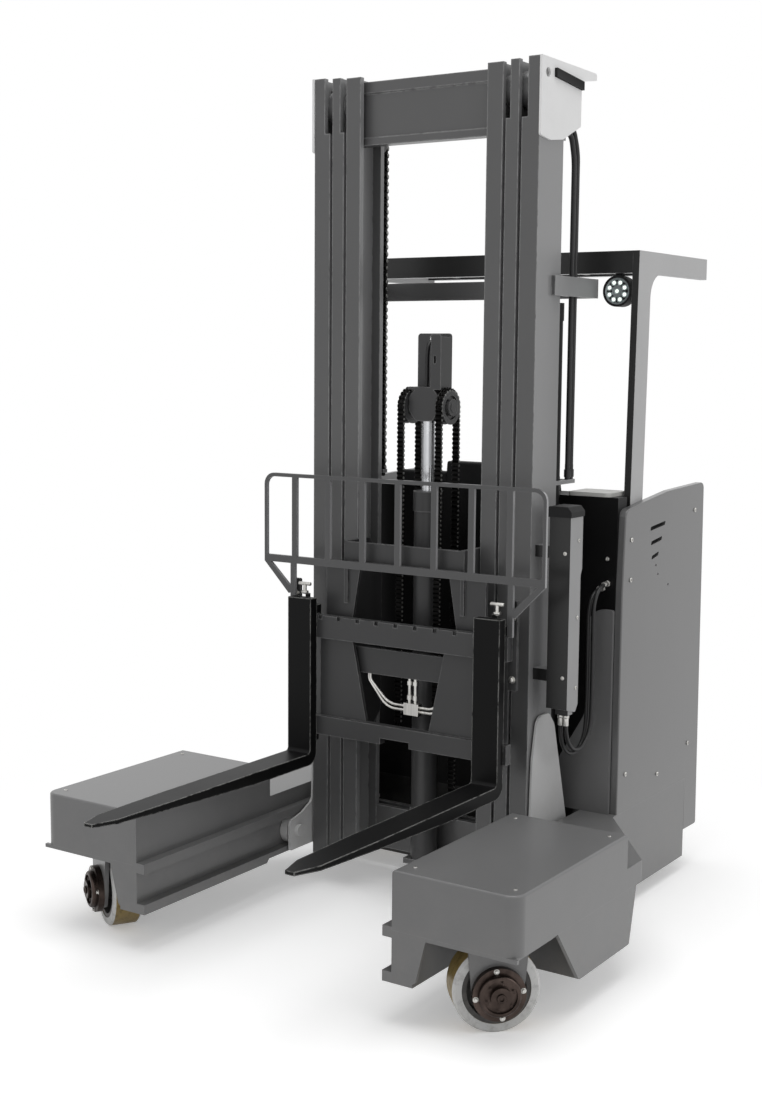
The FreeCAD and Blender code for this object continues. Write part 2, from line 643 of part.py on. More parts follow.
# ---------------------------------------------------------------- guard and lamps
def overhead_guard():
    out = BODY_HALF - PANEL_T
    low = GUARD_TOP - GUARD_H
    side = plate_x([(POST_FRONT - 34, 1010), (POST_FRONT, GUARD_TOP), (BODY_REAR - 10, GUARD_TOP),
                    (BODY_REAR - 10, low), (POST_FRONT + POST_W, low, 85),
                    (POST_FRONT + POST_W - 34, 1010)], out - 25, out)
    beam = box(-out + 25, out - 25, POST_FRONT, POST_FRONT + 50, low, GUARD_TOP)
    beam = beam.cut(box(-out + 30, out - 30, POST_FRONT + 5, POST_FRONT + 45, low + 5, GUARD_TOP - 5))
    rear = box(-out + 25, out - 25, BODY_REAR - 60, BODY_REAR - 10, low + 20, GUARD_TOP)
    bars = []
    count = 7
    pitch = (2 * out - 50) / (count + 1.0)
    for k in range(count):
        x = -out + 25 + pitch * (k + 1)
        bars.append(box(x - 8, x + 8, POST_FRONT + 50, BODY_REAR - 60, low + 26, GUARD_TOP))
    return join(side, mirrored(side), beam, rear, *bars)


def work_lamps():
    low = GUARD_TOP - GUARD_H
    z = low - 8 - LAMP_R
    shell = rod("y", POST_FRONT, POST_FRONT + LAMP_DEPTH, LAMP_X, z, LAMP_R)
    face = rod("y", POST_FRONT - 1, POST_FRONT + 6, LAMP_X, z, LAMP_R - 6)
    shell = shell.cut(face)
    stem = box(LAMP_X - 12, LAMP_X + 12, POST_FRONT + 14, POST_FRONT + 34, z + LAMP_R - 6, low)
    lens = []
    for k in range(9):
        a = 2 * math.pi * k / 8.0
        far = 0.0 if k == 8 else 30.0
        lens.append(rod("y", POST_FRONT + 2, POST_FRONT + 8, LAMP_X + far * math.cos(a),
                        z + far * math.sin(a), 9.0))
    return both(join(shell, stem, *lens))


# ---------------------------------------------------------------- reach carriage
def reach_carriage():
    inner = OUTER_HALF + MOVE
    out = inner + REACH_PLATE
    plate = plate_x([(775, 150, 10), (1196, 150, 10), (1186, 332, 40), (1080, 700, 40),
                     (1040, 746, 30), (955, 746, 40), (925, 600, 60), (915, 312, 30),
                     (850, 280, 30), (775, 262, 20)], inner, out)
    wheels = []
    for y in (ROLLER_FRONT_Y, ROLLER_REAR_Y):
        r = RAIL_OPEN / 2.0 - 0.5
        wheels.append(rod("x", RAIL_EDGE + 1.5, WELL_HALF - 2, y, ROLLER_Z, r))
        wheels.append(rod("x", inner - 14, RAIL_EDGE + 2, y, ROLLER_Z, 22.0))
    pin = rod("x", inner - 18, out, PIVOT_Y, PIVOT_Z, PIVOT_R)
    side = join(plate, pin, *wheels)
    rear = box(-inner, inner, 1112, 1190, 152, 250)
    rear = rear.cut(box(-inner + 4, inner - 4, 1120, 1182, 160, 242))
    foot = box(-inner, inner, 1112, 1196, 140, 152)
    return join(side, mirrored(side), rear, foot)


# ---------------------------------------------------------------- mast stages
def channel(x_out, flange, depth, web_x0, web_x1, z0, z1):
    """One upright: a front and a rear flange and a web, on the +X side."""
    front = box(x_out - flange, x_out, MAST_FRONT, MAST_FRONT + FLANGE_T, z0, z1)
    rear = box(x_out - flange, x_out, MAST_FRONT + depth - FLANGE_T, MAST_FRONT + depth, z0, z1)
    web = box(web_x0, web_x1, MAST_FRONT + 1, MAST_FRONT + depth - 1, z0, z1)
    return join(front, rear, web)


OUTER_REAR = MAST_FRONT + OUTER_DEPTH
ROLL_Y = MAST_FRONT + OUTER_DEPTH / 2.0
STAGE_ROLLER_R = OUTER_DEPTH / 2.0 - FLANGE_T - 1.0


def mast_outer():
    web0 = OUTER_HALF - WEB_T
    side = channel(OUTER_HALF, OUTER_FLANGE, OUTER_DEPTH, web0, OUTER_HALF, MAST_BOTTOM, MAST_TOP)
    inner = OUTER_HALF - OUTER_FLANGE
    notch = box(inner - 1, inner + 22, MAST_FRONT - 1, MAST_FRONT + FLANGE_T + 1,
                MAST_TOP - 191, MAST_TOP + 1)
    side = side.cut(notch)
    roller = rod("x", MIDDLE_OUT - 16, web0 - 28, ROLL_Y, MAST_TOP - 95, STAGE_ROLLER_R - 1)
    stub = rod("x", web0 - 30, web0 + 2, ROLL_Y, MAST_TOP - 95, 20.0)
    pin_hole = rod("x", web0 - 2, OUTER_HALF + 1, PIVOT_Y, PIVOT_Z, PIVOT_R + GAP)
    side = join(side, roller, stub).cut(pin_hole)
    low = OUTER_REAR + TIE_T + 4
    tie = box(-OUTER_HALF + 2, OUTER_HALF - 2, low, low + 16, 266, 300)
    ears = box(OUTER_HALF - 40, OUTER_HALF - 2, OUTER_REAR, low + 1, 266, 300)
    seat = box(LIFT_X - 36, LIFT_X + 36, low, LIFT_Y + 36, 300 - TIE_T, 310 - GAP)
    tie_rear = POST_FRONT - 10
    tie_top = GUARD_TOP - TIE_DROP
    u_side = box(OUTER_HALF, OUTER_HALF + TIE_BAR_T, 1016, tie_rear, tie_top - TIE_BAR_H, tie_top)
    u_rear = box(-OUTER_HALF - TIE_BAR_T, OUTER_HALF + TIE_BAR_T, tie_rear - TIE_BAR_T, tie_rear,
                 tie_top - TIE_BAR_H, tie_top)
    far = MAIN_SHEAVE_Y + MAIN_SHEAVE_R + CHAIN_T + 8
    anchor = plate_z([(OUTER_HALF - 10, OUTER_REAR - 1), (OUTER_HALF - 3, OUTER_REAR - 1),
                      (OUTER_HALF - 3, far), (MAIN_CHAIN_X - 12, far), (MAIN_CHAIN_X - 12, far - 28),
                      (OUTER_HALF - 10, far - 28)], ANCHOR_Z - 14, ANCHOR_Z)
    hold = box(HOSE_X - 12, OUTER_HALF - 3, far - 28, HOSE_Y + HOSE_PITCH + 14, ANCHOR_Z - 14, ANCHOR_Z)
    top = box(HOSE_X - 8, OUTER_HALF - 2, OUTER_REAR - 1, OUTER_REAR + 20, MAST_TOP - 250, MAST_TOP - 170)
    pieces = [side, mirrored(side), tie, hold, top, ears, mirrored(ears), seat, mirrored(seat),
              u_side, mirrored(u_side), u_rear, anchor, mirrored(anchor)]
    return join(*pieces)


def mast_hoses():
    """Two hoses up the rear of the mast, turned over into the block at its top, with end fittings."""
    made = []
    for k in range(2):
        y = HOSE_Y + HOSE_PITCH * k
        top = MAST_TOP - 212 + 26 * k
        line = hose([(HOSE_X, y, ANCHOR_Z + 50), (HOSE_X, y, top - 90), (HOSE_X, y - 24 - 9 * k, top - 18),
                     (HOSE_X, OUTER_REAR + 50, top), (HOSE_X, OUTER_REAR + 20, top)], HOSE_R)
        nut = rod("z", ANCHOR_Z + 8, ANCHOR_Z + 34, HOSE_X, y, HOSE_R + 3)
        sleeve = rod("z", ANCHOR_Z, ANCHOR_Z + 52, HOSE_X, y, HOSE_R + 0.5)
        made.append(join(line, nut, sleeve))
    return Part.Compound(made)


LOOP_ROUTE = [(548, 965, 764), (548, 965, 728), (551, 965, 674), (552, 997, 630), (554, 1050, 611),
              (555, 1103, 628), (556, 1135, 672), (557, 1140, 738), (559, 1136, 850), (561, 1130, 960),
              (562, 1127, 1050), (562, 1128, 1098), (563, 1145, 1142), (565, 1184, 1169),
              (565, 1230, 1169)]


def loop_hose(k):
    """A hose that hangs in a loop from the mast's side cover to the body's front wall."""
    points = [(x + 19 * k, y, z + 17 * k) for x, y, z in LOOP_ROUTE]
    points[0] = (points[0][0], points[0][1], LOOP_ROUTE[0][2])
    line = hose(points, LOOP_R)
    runs = 0.0
    for n in range(1, len(points)):
        runs += (V(*points[n]) - V(*points[n - 1])).Length
    print("loop hose", k, "runs", round(runs), "length", round(line.Volume / (math.pi * LOOP_R ** 2)))
    return line


def mast_top_plates():
    t = MAST_TOP
    front = MAST_FRONT - 5
    plate = plate_x([(front, t), (front, t - 253, 8), (front + 71, t - 262), (front + 156, t - 251),
                     (front + 285, t - 195, 10), (front + 285, t - 45), (front + 397, t - 27),
                     (front + 397, t - 4, 8)], OUTER_HALF, OUTER_HALF + 8)
    hole = rod("x", OUTER_HALF - 1, OUTER_HALF + 9, front + 44, t - 50, 16.0)
    slot = plate_x([(front + 91, t - 47), (front + 283, t - 61), (front + 283, t - 47),
                    (front + 91, t - 31)], OUTER_HALF - 1, OUTER_HALF + 9)
    flange = box(OUTER_HALF - 70, OUTER_HALF + 1, front + 300, front + 397, t - 12, t - 4)
    return both(join(plate.cut(hole).cut(slot), flange))


def mast_middle():
    mid = MIDDLE_OUT - MIDDLE_FLANGE / 2.0
    side = channel(MIDDLE_OUT, MIDDLE_FLANGE, OUTER_DEPTH, mid - 5, mid + 5,
                   MAST_BOTTOM + 8, MAST_TOP - 4)
    inner = MIDDLE_OUT - MIDDLE_FLANGE
    notch = box(inner - 1, inner + 16, MAST_FRONT - 1, MAST_FRONT + FLANGE_T + 1,
                MAST_TOP - 191, MAST_TOP + 1)
    side = side.cut(notch)
    roller = rod("x", INNER_OUT - 10, mid - 9, ROLL_Y - 10, MAST_TOP - 95, STAGE_ROLLER_R - 11)
    stub = rod("x", mid - 10, mid + 1, ROLL_Y - 10, MAST_TOP - 95, 18.0)
    foot = rod("x", mid + 9, OUTER_HALF - WEB_T - MOVE, ROLL_Y, MAST_BOTTOM + 100, STAGE_ROLLER_R)
    foot_stub = rod("x", mid, mid + 10, ROLL_Y, MAST_BOTTOM + 100, 18.0)
    tie_half = MIDDLE_OUT - 6
    top_tie = box(-tie_half, tie_half, OUTER_REAR - 1, OUTER_REAR + TIE_T, MAST_TOP - 145, MAST_TOP - 35)
    low_tie = box(-tie_half, tie_half, OUTER_REAR - 1, OUTER_REAR + TIE_T, 150, 290)
    cap = box(LIFT_X - 26, LIFT_X + 26, OUTER_REAR + 4, LIFT_Y + 26, MAST_TOP - 75,
              MAST_TOP - 55)
    arm = box(tie_half - 30, LIFT_X - 20, OUTER_REAR, OUTER_REAR + TIE_T, MAST_TOP - 95, MAST_TOP - 55)
    return join(side, mirrored(side), roller, mirrored(roller), stub, mirrored(stub), foot,
                mirrored(foot), foot_stub, mirrored(foot_stub), top_tie, low_tie,
                cap, mirrored(cap), arm, mirrored(arm))


def mast_inner():
    web = INNER_OUT - 24
    side = channel(INNER_OUT, INNER_FLANGE, INNER_DEPTH, web, web + 9, MAST_BOTTOM + 16, MAST_TOP - 8)
    foot = rod("x", web + 14, MIDDLE_OUT - MIDDLE_FLANGE / 2.0 - 11, ROLL_Y, MAST_BOTTOM + 100,
               STAGE_ROLLER_R - 0)
    foot_stub = rod("x", web + 8, web + 16, ROLL_Y, MAST_BOTTOM + 100, 18.0)
    inner = INNER_OUT - INNER_FLANGE
    foot_z = MAST_TOP - 238
    beam = plate_x([(950, foot_z), (990, foot_z), (990, foot_z + 9), (960, foot_z + 9),
                    (960, MAST_TOP - 31), (990, MAST_TOP - 31), (990, MAST_TOP - 21),
                    (946, MAST_TOP - 21), (946, MAST_TOP - 59), (950, MAST_TOP - 63)], -web - 1, web + 1)
    lip = box(-web - 1, web + 1, 944, 951, foot_z, foot_z + 27)
    beam = join(beam, lip)
    low = box(-60, 60, FREE_Y - FREE_BARREL_R + 2, 1056, 140, 160)
    back = box(-inner - 1, inner + 1, 1042, 1056, 140, 300)
    post = box(SHEAVE_X - 16, SHEAVE_X + 16, 1024, 1056, 299, 320 - GAP)
    hold = plate_z([(282, 1058), (302, 1058), (302, 1092), (MAIN_CHAIN_X + 12, 1092),
                    (MAIN_CHAIN_X + 12, 1108), (282, 1108)], 306, 320 - GAP)
    return join(side, mirrored(side), foot, mirrored(foot), foot_stub, mirrored(foot_stub), beam,
                low, back, post, mirrored(post), hold, mirrored(hold))


def lift_barrels():
    barrel = tube("z", LIFT_BARREL_BOTTOM, LIFT_BARREL_TOP, LIFT_X, LIFT_Y, LIFT_BARREL_R,
                  LIFT_ROD_R + 3)
    floor_disc = rod("z", LIFT_BARREL_BOTTOM, LIFT_BARREL_BOTTOM + 20, LIFT_X, LIFT_Y, LIFT_BARREL_R)
    gland = tube("z", LIFT_BARREL_TOP - 60, LIFT_BARREL_TOP, LIFT_X, LIFT_Y, LIFT_BARREL_R + 3,
                 LIFT_ROD_R + GAP)
    return both(join(barrel, floor_disc, gland))


def lift_rods():
    return both(rod("z", LIFT_BARREL_BOTTOM + 90, MAST_TOP - 75, LIFT_X, LIFT_Y, LIFT_ROD_R))


def chain_run(x, y, z0, z1):
    """A straight fall of leaf chain: a band whose two sides are waisted between the pins."""
    count = int((z1 - z0) / CHAIN_PITCH)
    step = (z1 - z0) / count
    near = [(y - CHAIN_T / 2, z0)]
    far = [(y + CHAIN_T / 2, z0)]
    for k in range(1, count + 1):
        middle = z0 + (k - 0.5) * step
        near.append((y - CHAIN_T / 2 + CHAIN_WAIST, middle))
        near.append((y - CHAIN_T / 2, z0 + k * step))
        far.append((y + CHAIN_T / 2 - CHAIN_WAIST, middle))
        far.append((y + CHAIN_T / 2, z0 + k * step))
    return plate_x(near + far[::-1], x - CHAIN_W / 2, x + CHAIN_W / 2)


def plain_run(x, y, z0, z1):
    return box(x - CHAIN_W / 2, x + CHAIN_W / 2, y - CHAIN_T / 2, y + CHAIN_T / 2, z0, z1)


def chain_over(x, y, z, r):
    """Half a turn of chain over the top of a sheave."""
    ring = tube("x", x - CHAIN_W / 2, x + CHAIN_W / 2, y, z, r + CHAIN_T, r)
    reach = r + CHAIN_T + 1
    return ring.common(box(x - CHAIN_W, x + CHAIN_W, y - reach, y + reach, z, z + reach))


def main_chains():
    rear = MAIN_SHEAVE_Y + MAIN_SHEAVE_R + CHAIN_T / 2
    front = MAIN_SHEAVE_Y - MAIN_SHEAVE_R - CHAIN_T / 2
    one = join(chain_run(MAIN_CHAIN_X, rear, ANCHOR_Z, MAIN_SHEAVE_Z),
               plain_run(MAIN_CHAIN_X, front, CHAIN_FOOT, MAIN_SHEAVE_Z),
               chain_over(MAIN_CHAIN_X, MAIN_SHEAVE_Y, MAIN_SHEAVE_Z, MAIN_SHEAVE_R))
    return both(one)


def sheave(x, y, z, r):
    """A chain sheave: groove between two flanges, a dished face and a raised hub."""
    wheel = rod("x", x - CHAIN_W / 2 - GAP, x + CHAIN_W / 2 + GAP, y, z, r - GAP)
    for sign in (-1, 1):
        inner = x + sign * (CHAIN_W / 2 + GAP)
        outer = x + sign * SHEAVE_W / 2
        wheel = wheel.fuse(rod("x", min(inner, outer), max(inner, outer), y, z, r + CHAIN_T * 0.6))
        face = x + sign * (SHEAVE_W / 2 + 1)
        deep = x + sign * (SHEAVE_W / 2 - 6)
        wheel = wheel.cut(tube("x", min(face, deep), max(face, deep), y, z, r - 10, r * 0.5))
    return wheel


def main_sheaves():
    wheel = sheave(MAIN_CHAIN_X, MAIN_SHEAVE_Y, MAIN_SHEAVE_Z, MAIN_SHEAVE_R)
    x0 = MAIN_CHAIN_X - SHEAVE_W / 2 - 10
    bracket = plate_x([(OUTER_REAR + TIE_T, MAIN_SHEAVE_Z + 50), (MAIN_SHEAVE_Y - 24, MAIN_SHEAVE_Z - 16),
                       (MAIN_SHEAVE_Y + 24, MAIN_SHEAVE_Z - 16, 14), (MAIN_SHEAVE_Y + 24, MAIN_SHEAVE_Z + 24),
                       (OUTER_REAR + TIE_T, MAIN_SHEAVE_Z + 130)], x0, x0 + 8)
    shaft = rod("x", x0 + 7, MAIN_CHAIN_X - SHEAVE_W / 2 + 3, MAIN_SHEAVE_Y, MAIN_SHEAVE_Z, 14.0)
    return both(join(wheel, bracket, shaft))


# ---------------------------------------------------------------- free lift
def free_barrel():
    barrel = tube("z", 160, FREE_BARREL_TOP, 0, FREE_Y, FREE_BARREL_R, FREE_ROD_R + 4)
    base = rod("z", 160, 190, 0, FREE_Y, FREE_BARREL_R)
    gland = tube("z", FREE_BARREL_TOP - 70, FREE_BARREL_TOP, 0, FREE_Y, FREE_BARREL_R + 4,
                 FREE_ROD_R + GAP)
    return join(barrel, base, gland)


def free_head():
    """Crosshead on the rod: sheave shaft, block with bolted cap, and the bent hose bracket."""
    side = SHEAVE_X - SHEAVE_W / 2 - 4
    block = plate_y([(-34, SHEAVE_Z - 48, 8), (34, SHEAVE_Z - 48, 8), (side, SHEAVE_Z - 14, 10),
                     (side, SHEAVE_Z + 38, 10), (38, SHEAVE_Z + 62, 10), (-38, SHEAVE_Z + 62, 10),
                     (-side, SHEAVE_Z + 38, 10), (-side, SHEAVE_Z - 14, 10)], FREE_Y - 34, FREE_Y + 34)
    collar = rod("z", SHEAVE_Z - 49, SHEAVE_Z - 47, 0, FREE_Y, FREE_ROD_R + 12)
    shaft = rod("x", -SHEAVE_X - SHEAVE_W / 2 - 10, SHEAVE_X + SHEAVE_W / 2 + 10, FREE_Y, SHEAVE_Z, 16.0)
    caps = []
    for sign in (-1, 1):
        a = sign * (SHEAVE_X + SHEAVE_W / 2 + 2)
        b = sign * (SHEAVE_X + SHEAVE_W / 2 + 8)
        caps.append(rod("x", min(a, b), max(a, b), FREE_Y, SHEAVE_Z, 30.0))
    z = SHEAVE_Z + 62
    seat = box(-HEAD_HALF, HEAD_HALF, FREE_Y - 34, FREE_Y + 40, z - 1, z + 8)
    back = plate_y([(-HEAD_HALF, z), (HEAD_HALF, z), (HEAD_HALF, HEAD_TOP, 12),
                    (-HEAD_HALF, HEAD_TOP, 12)], FREE_Y + 32, FREE_Y + 40)
    over = plate_y([(-22, HEAD_TOP - 46, 8), (22, HEAD_TOP - 46, 8), (22, HEAD_TOP - 10, 8),
                    (-22, HEAD_TOP - 10, 8)], FREE_Y + 31, FREE_Y + 41)
    under = plate_y([(-8, z + 12), (20, z + 12), (6, z + 34)], FREE_Y + 31, FREE_Y + 41)
    wing = box(HEAD_HALF - 8, HEAD_HALF, FREE_Y - 34, FREE_Y + 33, z, HEAD_TOP - 12)
    front = plate_y([(HEAD_HALF - 42, z), (HEAD_HALF, z), (HEAD_HALF, HEAD_TOP - 4, 10),
                     (HEAD_HALF - 42, HEAD_TOP - 4)], FREE_Y - 34, FREE_Y - 26)
    eye = plate_y([(HEAD_HALF - 30, HEAD_EYE_Z - 14, 5), (HEAD_HALF - 20, HEAD_EYE_Z - 14, 5),
                   (HEAD_HALF - 20, HEAD_EYE_Z + 14, 5), (HEAD_HALF - 30, HEAD_EYE_Z + 14, 5)],
                  FREE_Y - 35, FREE_Y - 25)
    clamp = box(-26, 26, FREE_Y + 40, FREE_Y + 46, z + 20, z + 44)
    return join(block, collar, shaft, seat, back.cut(over).cut(under), wing, front.cut(eye),
                clamp, *caps)


def free_rod():
    return rod("z", 460, SHEAVE_Z - 49, 0, FREE_Y, FREE_ROD_R)


def head_hoses():
    """Two hoses that rise from the crosshead and turn back over the bracket's top slot."""
    made = []
    z = SHEAVE_Z + 70
    for x in (-12, 12):
        made.append(hose([(x, FREE_Y + 4, z), (x, FREE_Y + 4, HEAD_TOP - 80), (x, FREE_Y + 12, HEAD_TOP - 40),
                          (x, FREE_Y + 36, HEAD_TOP - 25), (x, FREE_Y + 58, HEAD_TOP - 42),
                          (x, FREE_Y + 55, HEAD_TOP - 90), (x, FREE_Y + 55, z + 24)], HEAD_HOSE_R))
    return Part.Compound(made)


def free_sheaves():
    wheel = sheave(SHEAVE_X, FREE_Y, SHEAVE_Z, SHEAVE_R)
    wheel = wheel.cut(rod("x", 0, SHEAVE_X * 2, FREE_Y, SHEAVE_Z, 16.0 + GAP))
    return both(wheel)


def free_chains():
    front = FREE_Y - SHEAVE_R - CHAIN_T / 2
    rear = FREE_Y + SHEAVE_R + CHAIN_T / 2
    one = join(chain_run(SHEAVE_X, front, 640, SHEAVE_Z),
               plain_run(SHEAVE_X, rear, CHAIN_FOOT, SHEAVE_Z),
               chain_over(SHEAVE_X, FREE_Y, SHEAVE_Z, SHEAVE_R))
    return both(one)


# ---------------------------------------------------------------- fork carriage
def fork_carriage():
    back = BAR_FRONT + BAR_T
    upper = box(-BAR_HALF, BAR_HALF, BAR_FRONT, back, UPPER_BAR_TOP - UPPER_BAR_H, UPPER_BAR_TOP)
    notches = []
    for k in range(-4, 5):
        x = k * 80.0
        notches.append(box(x - 8, x + 8, BAR_FRONT - 1, BAR_FRONT + 14, UPPER_BAR_TOP - 14,
                           UPPER_BAR_TOP + 1))
    upper = upper.cut(notches)
    lower = box(-BAR_HALF, BAR_HALF, BAR_FRONT, back, LOWER_BAR_BOTTOM,
                LOWER_BAR_BOTTOM + LOWER_BAR_H)
    lower = lower.cut(box(-60, 60, BAR_FRONT - 1, back + 1, LOWER_BAR_BOTTOM - 1,
                          LOWER_BAR_BOTTOM + 22))
    low_z = LOWER_BAR_BOTTOM + LOWER_BAR_H - 1
    high_z = UPPER_BAR_TOP - UPPER_BAR_H + 1
    web = plate_y([(130, low_z), (330, low_z), (330, high_z), (190, high_z)],
                  back - 14, back)
    upright = plate_y([(222, 1000), (330, 1000), (330, 1236), (182, 1236), (214, 1047)],
                      back + 22, back + 34)
    x0 = ROLLER_PLATE_OUT - ROLLER_PLATE_T
    cheek = plate_x([(back - 14, 624), (990, 624, 30), (1035, 670, 30), (1035, 1190, 40),
                     (960, 1316, 30), (back + 14, 1316), (back + 14, UPPER_BAR_TOP + 46),
                     (back + 22, UPPER_BAR_TOP + 46), (back + 22, UPPER_BAR_TOP - 26),
                     (back - 14, UPPER_BAR_TOP - 26)], x0, ROLLER_PLATE_OUT)
    rolls = []
    for z in (CARRIAGE_LOW_Z, CARRIAGE_HIGH_Z):
        rolls.append(rod("x", INNER_OUT - INNER_FLANGE + 4, INNER_OUT - 24 - MOVE, ROLL_Y - 10, z,
                         INNER_DEPTH / 2.0 - FLANGE_T - 1))
        rolls.append(rod("x", x0, INNER_OUT - INNER_FLANGE + 5, ROLL_Y - 10, z, 20.0))
    side = join(web, upright, cheek, *rolls)
    cross = box(-ROLLER_PLATE_OUT, ROLLER_PLATE_OUT, back + 14, back + 28, 1244, 1314)
    brace = box(-ROLLER_PLATE_OUT, ROLLER_PLATE_OUT, back + 14, back + 28, BRACE_Z, BRACE_Z + 92)
    ear = plate_y([(430, 862, 6), (464, 862, 6), (464, 1166, 6), (430, 1166, 6)],
                  back, back + 10)
    anchor = box(SHEAVE_X - 26, ROLLER_PLATE_OUT - 1, FREE_Y - SHEAVE_R - CHAIN_T - 8,
                 FREE_Y - SHEAVE_R - 2, 625, 640)
    return join(upper, lower, side, mirrored(side), cross, brace, ear, mirrored(ear), anchor,
                mirrored(anchor))


def carriage_pipes():
    """Twin steel pipes, their manifold block and two upright fittings behind the window."""
    y = BAR_FRONT + BAR_T + 21
    low = BRACE_Z - 114
    made = []
    for k in range(2):
        z = low + 15 * k
        d = 7 * k
        made.append(hose([(-142 + d, y, BRACE_Z), (-142 + d, y, BRACE_Z - 22), (-66 + d, y, z),
                          (12, y, z)], PIPE_R))
        made.append(hose([(72, y, z), (138 - d, y, z), (172 - d, y, BRACE_Z - 44),
                          (172 - d, y, BRACE_Z)], PIPE_R))
    block = box(12, 72, y - 12, y + 12, low - 14, low + 28)
    fittings = []
    for x in (30, 54):
        fittings.append(rod("z", low + 27, BRACE_Z, x, y, 6.0))
        fittings.append(rod("z", low + 40, low + 56, x, y, 10.0))
        fittings.append(rod("z", BRACE_Z - 22, BRACE_Z - 8, x, y, 10.0))
    return join(block, *(made + fittings))


def load_backrest():
    half = REST_HALF
    y0 = REST_Y
    y1 = REST_Y + REST_T
    outer = plate_y([(-half, REST_BOTTOM), (half, REST_BOTTOM), (half, REST_TOP, 42),
                     (-half, REST_TOP, 42)], y0, y1)
    inner = plate_y([(-half + REST_T, REST_BOTTOM + REST_BAR), (half - REST_T, REST_BOTTOM + REST_BAR),
                     (half - REST_T, REST_TOP - REST_BAR / 2, 32),
                     (-half + REST_T, REST_TOP - REST_BAR / 2, 32)], y0 - 1, y1 + 1)
    frame = outer.cut(inner)
    bars = []
    for k in range(-3, 4):
        x = k * 147.0
        bars.append(box(x - 11, x + 11, y0, y1, REST_BOTTOM + 1, REST_TOP - 4))
    brace = plate_y([(half, REST_BOTTOM + 1), (half - 26, REST_BOTTOM + 1), (440, 1120), (466, 1112)],
                    y0, y1)
    post = box(438, 458, y0, y1, UPPER_BAR_TOP, REST_BOTTOM + 1)
    return join(frame, brace, mirrored(brace), post, mirrored(post), *bars)


def fork():
    """The fork on the +X side: blade, heel and shank in one, with its two hooks."""
    front = BAR_FRONT - FORK_T - GAP
    low = FORK_TOP - FORK_T - 4
    profile = [(FORK_TIP, FORK_TOP - FORK_TIP_T), (FORK_TIP, FORK_TOP), (front, FORK_TOP, 14),
               (front, SHANK_TOP), (front + FORK_T, SHANK_TOP), (front + FORK_T, low + 60, 0),
               (front + FORK_T, low, 45), (front - 300, low)]
    blade = plate_x(profile, FORK_X - FORK_W / 2, FORK_X + FORK_W / 2)
    half = FORK_W / 2
    for sign in (-1, 1):
        x = FORK_X + sign * half
        corner = plate_z([(x + sign, FORK_TIP - 1), (x - sign * 34, FORK_TIP - 1),
                          (x - sign * 7, FORK_TIP + 90), (x + sign, FORK_TIP + 420)],
                         low - 10, FORK_TOP + 10)
        blade = blade.cut(corner)
    hook = box(FORK_X - 38, FORK_X + 38, front + FORK_T - 1, BAR_FRONT + BAR_T + 6,
               UPPER_BAR_TOP + GAP, UPPER_BAR_TOP + 34)
    lip = box(FORK_X - 38, FORK_X + 38, BAR_FRONT + BAR_T + GAP, BAR_FRONT + BAR_T + 14,
              UPPER_BAR_TOP - 18, UPPER_BAR_TOP + 34)
    low_hook = box(FORK_X - 30, FORK_X + 30, front + FORK_T - 1, BAR_FRONT + BAR_T + 12,
                   LOWER_BAR_BOTTOM - 34, LOWER_BAR_BOTTOM - GAP)
    pin = rod("z", UPPER_BAR_TOP + 34, SHANK_TOP + 10, FORK_X, BAR_FRONT + 14, 9.0)
    return join(blade, hook, lip, low_hook, pin)


# ---------------------------------------------------------------- mast side cover
def side_cover():
    x0 = 512.0
    x1 = 590.0
    body = plate_x([(924, 792, 0), (985, 776, 10), (1004, 800, 10), (1004, 1240, 10), (1014, 1262, 10),
                    (1014, 1440), (924, 1440)], x0, x1)
    arms = []
    for z in (880, 1300):
        arms.append(box(OUTER_HALF, x0, 940, 990, z, z + 40))
    gland = box(534, 582, 948, 982, LOOP_ROUTE[0][2] + GLAND_GAP, 800)
    return join(body, gland, *arms)


def side_cover_cap():
    return plate_y([(508, 1440), (594, 1440), (594, 1458, 6), (580, 1476, 6), (508, 1476, 6)],
                   920, 1018)


